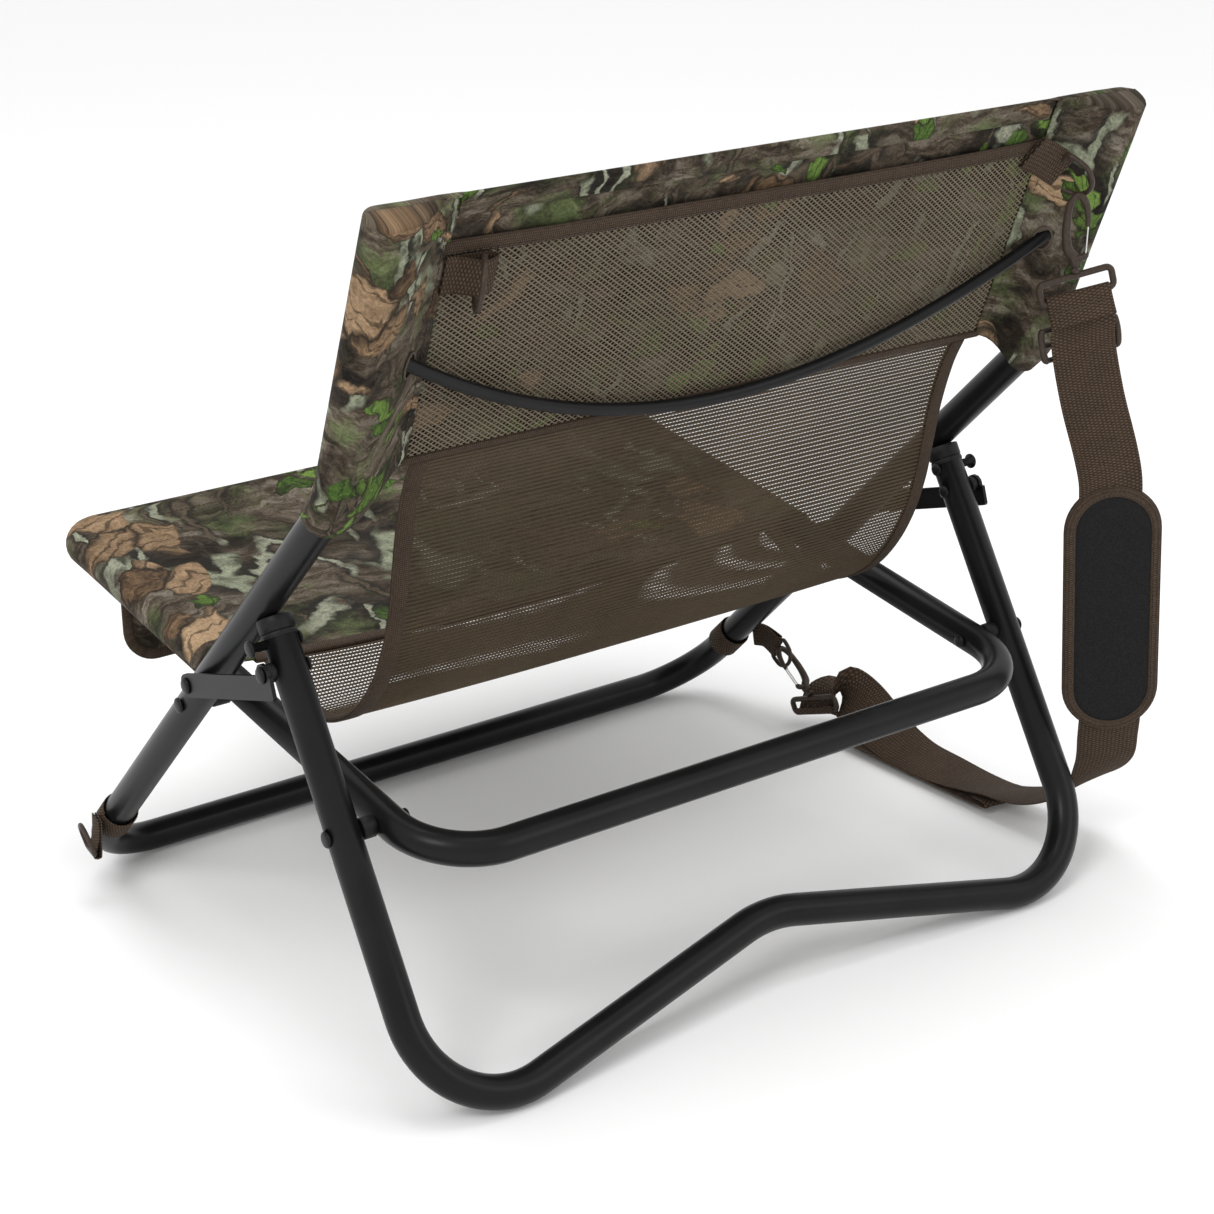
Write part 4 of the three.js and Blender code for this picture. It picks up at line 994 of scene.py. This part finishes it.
# ---------- hardware of the carry strap ----------
class Local:
    """Axes at a fitting: u across the strap, v along it, w square to both."""

    def __init__(self, origin, across, run):
        self.o = Vector(origin)
        self.v = Vector(run).normalized()
        a = Vector(across)
        self.u = (a - self.v * a.dot(self.v)).normalized()
        self.w = self.u.cross(self.v)

    def at(self, a, b, c=0.0):
        return self.o + self.u * a + self.v * b + self.w * c


def wire_shape(name, points, r, first, closed, material, body, replaces, scales=None, count=90, flatten=1.0):
    line = resample(points, count, closed)
    sizes = None
    if scales:
        sizes = []
        for k in range(count):
            place = k / (count - 1) * (len(scales) - 1)
            i = min(len(scales) - 2, int(place))
            sizes.append(scales[i] + (scales[i + 1] - scales[i]) * (place - i))
    v, f, u = sweep_data(line, circle(r, 18, flatten), first, closed, sizes)
    return build(name, v, f, material, u, body, replaces)


def d_ring(name, f, width, height, r, body, node):
    w = width / 2
    corners = [f.at(-w * 0.75, 0), f.at(-w * 0.3, 0), f.at(w * 0.3, 0), f.at(w * 0.75, 0), f.at(w, height * 0.12)]
    for k in range(1, 10):
        a = math.pi * k / 10
        corners.append(f.at(w * math.cos(a), height * (0.36 + 0.64 * math.sin(a))))
    corners.append(f.at(-w, height * 0.12))
    return wire_shape(name, corners, r, f.w, True, BUCKLE, body, (node,))


def web_loop(name, f, width, height, bar, body, node):
    x = width / 2
    soft = 3.2
    corners = []
    for cx, cy, a0 in ((x - soft, height - soft, 0), (-x + soft, height - soft, 90), (-x + soft, soft, 180),
                       (x - soft, soft, 270)):
        for k in range(5):
            a = math.radians(a0 + 90 * k / 4)
            corners.append(f.at(cx + (soft + bar * 0.4) * math.cos(a), cy + (soft + bar * 0.4) * math.sin(a)))
    line = []
    for i, p in enumerate(corners):
        q = corners[(i + 1) % len(corners)]
        steps = max(1, int((q - p).length / 4))
        line += [p.lerp(q, k / steps) for k in range(steps)]
    v, fcs, u = sweep_data(line, circle(bar, 14), f.w, True)
    return build(name, v, fcs, BUCKLE, u, body, (node,))


def snap_hook(name, f, length, opening, r, body, node):
    """Swivel base, round body and a curved nose; the wire gate closes its open side."""
    o = opening / 2
    line = [f.at(o * 1.02, length * 0.60), f.at(o * 1.0, length * 0.72), f.at(o * 0.82, length * 0.86), f.at(o * 0.4, length * 0.965),
            f.at(0, length), f.at(-o * 0.45, length * 0.965), f.at(-o * 0.88, length * 0.86), f.at(-o * 1.05, length * 0.68),
            f.at(-o * 1.05, length * 0.46), f.at(-o * 0.8, length * 0.28), f.at(-o * 0.3, length * 0.2), f.at(0, length * 0.13)]
    points = resample(line, 90)
    sizes = [0.78 + 0.34 * smooth(0, 25, k) + 0.16 * smooth(45, 60, k) + 0.3 * smooth(60, 89, k) for k in range(90)]
    hook = sweep_data(points, circle(r, 18), f.w, scales=sizes)
    neck_line = [f.at(0, b) for b in (-1.0, -0.6, 1.6, 2.4, 3.2, 4.0, 6.4, 8.4, 9.4)]
    neck = sweep_data(neck_line, circle(r * 1.55, 24), f.u, scales=[0.82, 1.0, 1.0, 0.62, 0.62, 1.06, 1.12, 1.0, 0.7])
    arm = [f.at(o * 0.15, length * 0.17), f.at(o * 0.6, length * 0.185), f.at(o * 0.92, length * 0.215), f.at(o * 1.0, length * 0.26)]
    stub = sweep_data(resample(arm, 12), circle(r * 0.95, 14), f.w, scales=[1.1] * 9 + [1.0, 0.9, 0.7])
    v, fcs, u = joined(hook, neck, stub)
    return build(name, v, fcs, BUCKLE, u, body, (node,))


def gate(name, f, length, opening, body, node):
    a, b = f.at(opening / 2 - 0.4, length * 0.2), f.at(opening / 2 + 0.3, length * 0.60)
    line = []
    for turn in range(17):
        k = math.pi * turn / 16
        line.append(b + f.w * 1.35 * math.cos(k) + f.v * 1.4 * math.sin(k))
    line = [a + f.w * 1.35] + [a.lerp(b, t) + f.w * 1.35 for t in (0.3, 0.6)] + line
    line += [a.lerp(b, t) - f.w * 1.35 for t in (0.6, 0.3)] + [a - f.w * 1.35]
    return wire_shape(name, line, 0.62, f.u, False, WIRE, body, (node,), count=80)


def tab_at(x, d, off):
    return at(UPPER_BEND + BACK_DIR * d + BACK_OUT * off, x)


def webbing(name, stations, width, thickness, count, body, replaces=(), extra=()):
    (v, f, u), points = band_data([(Vector(p), Vector(a)) for p, a in stations], width, thickness, count)
    if extra:
        v, f, u = joined((v, f, u), *extra)
    obj = build(name, v, f, WEB, u, body, replaces)
    return obj, points


# upper right: a folded tab on the pocket's edge, ring, hook, loop
TAB_ACROSS = vec(0.36, 0.35, 0.86)
tab_line = [tab_at(-247, 176, -7.2), tab_at(-259, 171, -6.6), tab_at(-271, 165, -4.5)]
tab_run = (tab_line[2] - tab_line[1]).normalized()
tab_across = (TAB_ACROSS - tab_run * TAB_ACROSS.dot(tab_run)).normalized()
tab_out = tab_run.cross(tab_across)
ring_f = Local(tab_line[2] + tab_run * 10.2, TAB_ACROSS, (-0.45, 0.75, -0.5))
d_ring("ring_upper", ring_f, 34, 27, 2.0, "front_frame", "strap_ring_upper")


def folded_tab(line, across, out, bar, width, name, body, node, r=2.9, gap=1.15):
    """A strip sewn down at one end, round a bar and back on itself."""
    over = [p + out * gap for p in line]
    under = [p - out * gap for p in reversed(line)]
    run = (bar - line[-1]).normalized()
    turn = [bar + out * r, bar + out * r * 0.7 + run * r * 0.7, bar + run * r, bar - out * r * 0.7 + run * r * 0.7,
            bar - out * r]
    stations = [(p, across) for p in over + turn + under]
    return webbing(name, stations, width, 1.25, 60, body, (node,))


folded_tab(tab_line, tab_across, tab_out, ring_f.o, 29, "tab_upper", "front_frame", "strap_tab_upper")
hook_top = Local((-288, 518, 514), (-0.7, 0.7, 0.1), (0.02, 0.03, 1))
hook_upper = snap_hook("hook_upper", hook_top, 58, 15, 2.6, "snap_hook_upper", "snap_hook_upper")
gate("gate_upper", hook_top, 58, 15, "snap_gate_upper", "snap_gate_upper")
loop_top = Local((-288, 518, 509.4), (-0.84, 0.48, 0.24), (-0.2, 0.12, -0.97))
web_loop("loop_upper", loop_top, 55, 14, 2.6, "front_frame", "strap_loop_upper")

# upper strap: round the loop's lower bar, the short end sewn and held by the slider
W0, W1, W2 = vec(-0.84, 0.48, 0.24), vec(-0.85, 0.5, 0.18), vec(-0.8, 0.58, 0.05)
strap_stations = []
for b, c in ((34, -7.0), (31, -6.2), (27, -5.2), (20, -4.0), (14.4, -3.6), (11.6, -2.5), (10.6, 0), (11.6, 2.4),
             (14.4, 3.4), (20, 1.8), (28, 0.4), (36, -0.4)):
    strap_stations.append((loop_top.at(0, b, c), loop_top.u))
near = -loop_top.w * 0.9
for p, a in (((-300, 519.5, 452), W1), ((-311, 521, 410), W2), ((-322, 526, 370), W2), ((-328, 528, 345), W2),
             ((-330, 528, 325), W2)):
    strap_stations.append((Vector(p) + near, a))
strap_upper, upper_line = webbing("strap_upper_web", strap_stations, 50, 1.4, 150, "front_frame", ("strap_upper",))
slider_f = Local((-299.2, 516.4, 459.0), tuple(W1), (-0.2, 0.05, -0.97))
slider_parts = []
for b in (-12, 0, 12):
    slider_parts.append(sweep_data([slider_f.at(a, b, 2.6) for a in (-27, 0, 27)], circle(2.2, 12), slider_f.w))
for a in (-27, 27):
    slider_parts.append(sweep_data(resample([slider_f.at(a, -12, 2.6), slider_f.at(a * 1.07, -10, 1.8), slider_f.at(a * 1.1, 0, 1.2),
                                             slider_f.at(a * 1.07, 10, 1.8), slider_f.at(a, 12, 2.6)], 20), circle(2.9, 14), slider_f.w))
v, f, u = joined(*slider_parts)
build("slider_body", v, f, BUCKLE, u, "front_frame", ("strap_slider",))
stitch_rows = []
for b in (20.5, 23.5):
    stitch_rows.append(([loop_top.at(a, b, -5.0) for a in range(-22, 23, 4)], -loop_top.w))
stitches("strap_upper_stitches", stitch_rows, "front_frame", pitch=3.2, dash=2.3)

# shoulder pad
pad_f = Local((-339, 527, 232), (-0.8, 0.58, 0.05), (0.07, 0.02, 1))
PAD_R, PAD_LENGTH = 39.0, 214.0
spine = PAD_LENGTH / 2 - PAD_R


def pad_point(t, inset, c):
    a = 2 * math.pi * t
    up = spine if math.sin(a) > 1e-9 else -spine
    r = PAD_R - inset
    x, y = r * math.cos(a), r * math.sin(a)
    return x, y + (spine if t < 0.5 else -spine), c


def pad_loop(inset, c):
    out = []
    r = PAD_R - inset
    for k in range(25):
        a = math.pi * k / 24
        out.append(pad_f.at(r * math.cos(a), spine + r * math.sin(a), c))
    for k in range(1, 16):
        out.append(pad_f.at(-r, spine - 2 * spine * k / 16, c))
    for k in range(25):
        a = math.pi + math.pi * k / 24
        out.append(pad_f.at(r * math.cos(a), -spine + r * math.sin(a), c))
    for k in range(1, 16):
        out.append(pad_f.at(r, -spine + 2 * spine * k / 16, c))
    return out


def rings_data(loops):
    n = len(loops[0])
    verts = [p for loop in loops for p in loop]
    faces = strip_faces(len(loops), n, False, True)
    faces += [tuple(reversed(range(n))), tuple(range(len(verts) - n, len(verts)))]
    uvs = [((p - pad_f.o).dot(pad_f.u), (p - pad_f.o).dot(pad_f.v)) for p in verts]
    return verts, faces, uvs


face_heights = [(36, 5.3), (28, 5.3), (20, 5.2), (13, 5.0), (9.5, 4.5), (8, 3.6)]
loops = [pad_loop(i, -c) for i, c in face_heights] + [pad_loop(i, c) for i, c in reversed(face_heights)]
v, f, u = rings_data(loops)
pad = build("shoulder_pad_body", v, f, PAD, u, "front_frame", ("shoulder_pad",))
edge_loops = [pad_loop(i, c) for i, c in ((9.2, -4.0), (8.8, -4.9), (7, -5.3), (3, -4.9), (0.8, -3.4), (0, 0),
                                          (0.8, 3.4), (3, 4.9), (7, 5.3), (8.8, 4.9), (9.2, 4.0), (8.6, 2.5), (8.6, -2.5))]
n = len(edge_loops[0])
verts = [p for loop in edge_loops for p in loop]
faces = strip_faces(len(edge_loops), n, True, True)
uvs = [(k // n * 2.0, sum(0 for _ in ()) + (k % n) * 7.0) for k in range(len(verts))]
pad_binding = build("pad_binding", verts, faces, TAPE, uvs, "front_frame")
pad_stitch = []
for c in (-1, 1):
    loop = pad_loop(6.6, c * 5.35)
    pad_stitch.append((loop + [loop[0]], pad_f.w * c))
stitches("pad_stitches", pad_stitch, "front_frame", pitch=3.4, dash=2.4, r=0.32)

# lower strap: from the pad to the floor, doubled back under itself, and up to the lower loop
FLAT = vec(-0.99, 0, -0.12)
hook_low = Local((-346, 152, 34), (1, 0, 0), (0.1, -0.72, 0.68))
loop_low = Local(hook_low.o - hook_low.v * 5.8, (-0.09, 0.93, 0.33), (-0.1, 0.33, -0.94))
lower = [((-346, 525.5, 134), (-0.8, 0.58, 0)), ((-350, 521, 118), (-0.8, 0.58, 0)), ((-357, 512, 90), (-0.75, 0.5, 0.3)),
         ((-364, 488, 60), (-0.85, 0.25, 0.3)), ((-365, 446, 32), (-0.95, 0.1, 0.1)), ((-364, 404, 18), FLAT),
         ((-363, 350, 11.5), FLAT), ((-363, 290, 11.0), FLAT), ((-364, 255, 15), (-0.98, 0.05, -0.1)),
         ((-368, 222, 24), (-0.93, 0.33, 0.1)), ((-371, 196, 33), (-0.8, 0.58, 0.1)),
         ((-370, 177, 38), (-0.55, 0.82, 0.15)), ((-364, 166, 37), (-0.3, 0.93, 0.2)),
         ((-357, 161, 31), (-0.15, 0.95, 0.28))]
lower += [(loop_low.at(0, b, c), loop_low.u) for b, c in ((10.5, 3.9), (13.2, 2.4), (14.4, 0), (13.0, -2.5),
                                                          (10.0, -3.6), (7.0, -4.0))]
strap_lower, lower_line = webbing("strap_lower_web", lower, 50, 1.5, 170, "front_frame", ("strap_lower",))
back = [((-362, 208, 8.2), FLAT), ((-362, 206, 6.2), FLAT), ((-362, 212, 4.6), FLAT), ((-362, 240, 4.0), FLAT),
        ((-362, 300, 3.8), FLAT), ((-362, 350, 4.0), FLAT), ((-362, 388, 4.8), FLAT), ((-362, 396, 7.0), FLAT),
        ((-362, 393, 9.6), FLAT), ((-362, 380, 10.4), FLAT)]
strap_return, return_line = webbing("strap_return_web", back, 50, 1.5, 90, "front_frame", ("strap_return",))
snap_hook("hook_lower", hook_low, 52, 14, 2.4, "snap_hook_lower", "snap_hook_lower")
gate("gate_lower", hook_low, 52, 14, "snap_gate_lower", "snap_gate_lower")
web_loop("loop_lower", loop_low, 55, 11, 2.6, "front_frame", "strap_loop_lower")

# webbing round the feet of the front legs, with their tabs and rings
for side, s in SIDES:
    centre = at(FRONT_FOOT + FRONT_DIR * 84, s * FRONT_HALF)
    across = lean(FRONT_ANGLE + 90)
    stations = []
    for k in range(41):
        a = 2 * math.pi * k / 40
        r = 14.0 + 1.1 * k / 40
        stations.append((centre + vec(1, 0, 0) * s * r * math.cos(a) + across * r * math.sin(a), FRONT_DIR))
    webbing(f"foot_web_{side}", stations, 25, 1.2, 80, "front_frame", (f"foot_loop_{side}",))
folded_tab([vec(341.5, 66, 76), vec(343, 66, 60)], vec(0.2, 0.95, 0.1), vec(0.98, -0.2, 0.06), vec(345.5, 65.5, 46), 22,
           "tab_foot_left", "front_frame", "foot_tab_left", r=2.7)
folded_tab([vec(-341, 76, 73), vec(-341.3, 92, 75.5)], vec(0, 0.3, 0.95), vec(-1, 0, 0), vec(-341.6, 108.5, 71), 22,
           "tab_foot_right", "front_frame", "foot_tab_right", r=2.6)
d_ring("ring_lower", Local((-341.6, 110, 70), (0, 0.6, 0.8), (0, 0.8, -0.6)), 26, 20, 1.9, "front_frame", "strap_ring_lower")
d_ring("ring_foot_left", Local((349, 66, 48), (0.2, 0.97, 0.1), (0.22, -0.15, 0.95)), 26, 24, 1.9, "foot_ring_left",
       "foot_ring_left")
left_tab = [(264, -9.4), (256, -8.6), (248, -4.6), (240, -0.4), (232, -1.6), (227, -5.4), (231, -9.0), (240, -9.6),
            (264, -10.4)]
webbing("tab_left", [(tab_at(x, 158, off), BACK_DIR) for x, off in left_tab], 28, 1.25, 60, "front_frame",
        ("strap_tab_left",))
d_ring("ring_left", Local(tab_at(240, 158, -3.5), BACK_DIR, (0.5, 0.8, -0.33)), 34, 27, 2.0, "tab_ring_left",
       "strap_ring_left")

# ---------- floor, light and camera ----------
def stage_material(name, colour, rough):
    return Finish(name, colour, rough).mat


floor_mesh = bpy.data.meshes.new("floor")
FLOOR = 30.0
floor_mesh.from_pydata([Vector((x * FLOOR, y * FLOOR, -0.0006)) for x, y in ((-1, -1), (1, -1), (1, 1), (-1, 1))], [],
                       [(0, 1, 2, 3)])
floor_mesh.materials.append(stage_material("floor", (0.93, 0.93, 0.93), 0.9))
floor = bpy.data.objects.new("floor", floor_mesh)
bpy.context.scene.collection.objects.link(floor)

world = bpy.data.worlds.new("studio")
bpy.context.scene.world = world
world.use_nodes = True
world.node_tree.nodes["Background"].inputs["Color"].default_value = (1, 1, 1, 1)
world.node_tree.nodes["Background"].inputs["Strength"].default_value = 0.98

AIM = Vector((0.0, 0.25, 0.3))


def softbox(name, place, size, power):
    light = bpy.data.lights.new(name, "AREA")
    light.shape, light.size, light.energy = "SQUARE", size, power
    obj = bpy.data.objects.new(name, light)
    obj.location = place
    obj.rotation_euler = (AIM - Vector(place)).to_track_quat("-Z", "Y").to_euler()
    bpy.context.scene.collection.objects.link(obj)


softbox("key", (2.6, 1.6, 2.9), 1.2, 42)
softbox("fill", (-1.6, 3.2, 1.9), 1.6, 12)
softbox("top", (0.0, 0.2, 3.4), 1.6, 26)

CAMERA_AT = Vector((1.1240, 1.8516, 0.9705))
AZIMUTH, ELEVATION, ROLL = math.radians(143.97), math.radians(20.69), math.radians(-0.98)
IMAGE, FOCAL = 1214, 2580                    # pixels
toward = Vector((math.sin(AZIMUTH) * math.cos(ELEVATION), -math.cos(AZIMUTH) * math.cos(ELEVATION), math.sin(ELEVATION)))
right = Vector((0, 0, 1)).cross(toward).normalized()
up = toward.cross(right)
right, up = right * math.cos(ROLL) + up * math.sin(ROLL), up * math.cos(ROLL) - right * math.sin(ROLL)
lens = bpy.data.cameras.new("camera")
lens.sensor_width = 36
lens.lens = 36 * FOCAL / IMAGE
lens.clip_end = 100
camera = bpy.data.objects.new("camera", lens)
camera.matrix_world = Matrix((
    (right.x, up.x, toward.x, CAMERA_AT.x), (right.y, up.y, toward.y, CAMERA_AT.y),
    (right.z, up.z, toward.z, CAMERA_AT.z), (0, 0, 0, 1)))
bpy.context.scene.collection.objects.link(camera)
bpy.context.scene.camera = camera
bpy.context.scene.view_settings.view_transform = "Standard"
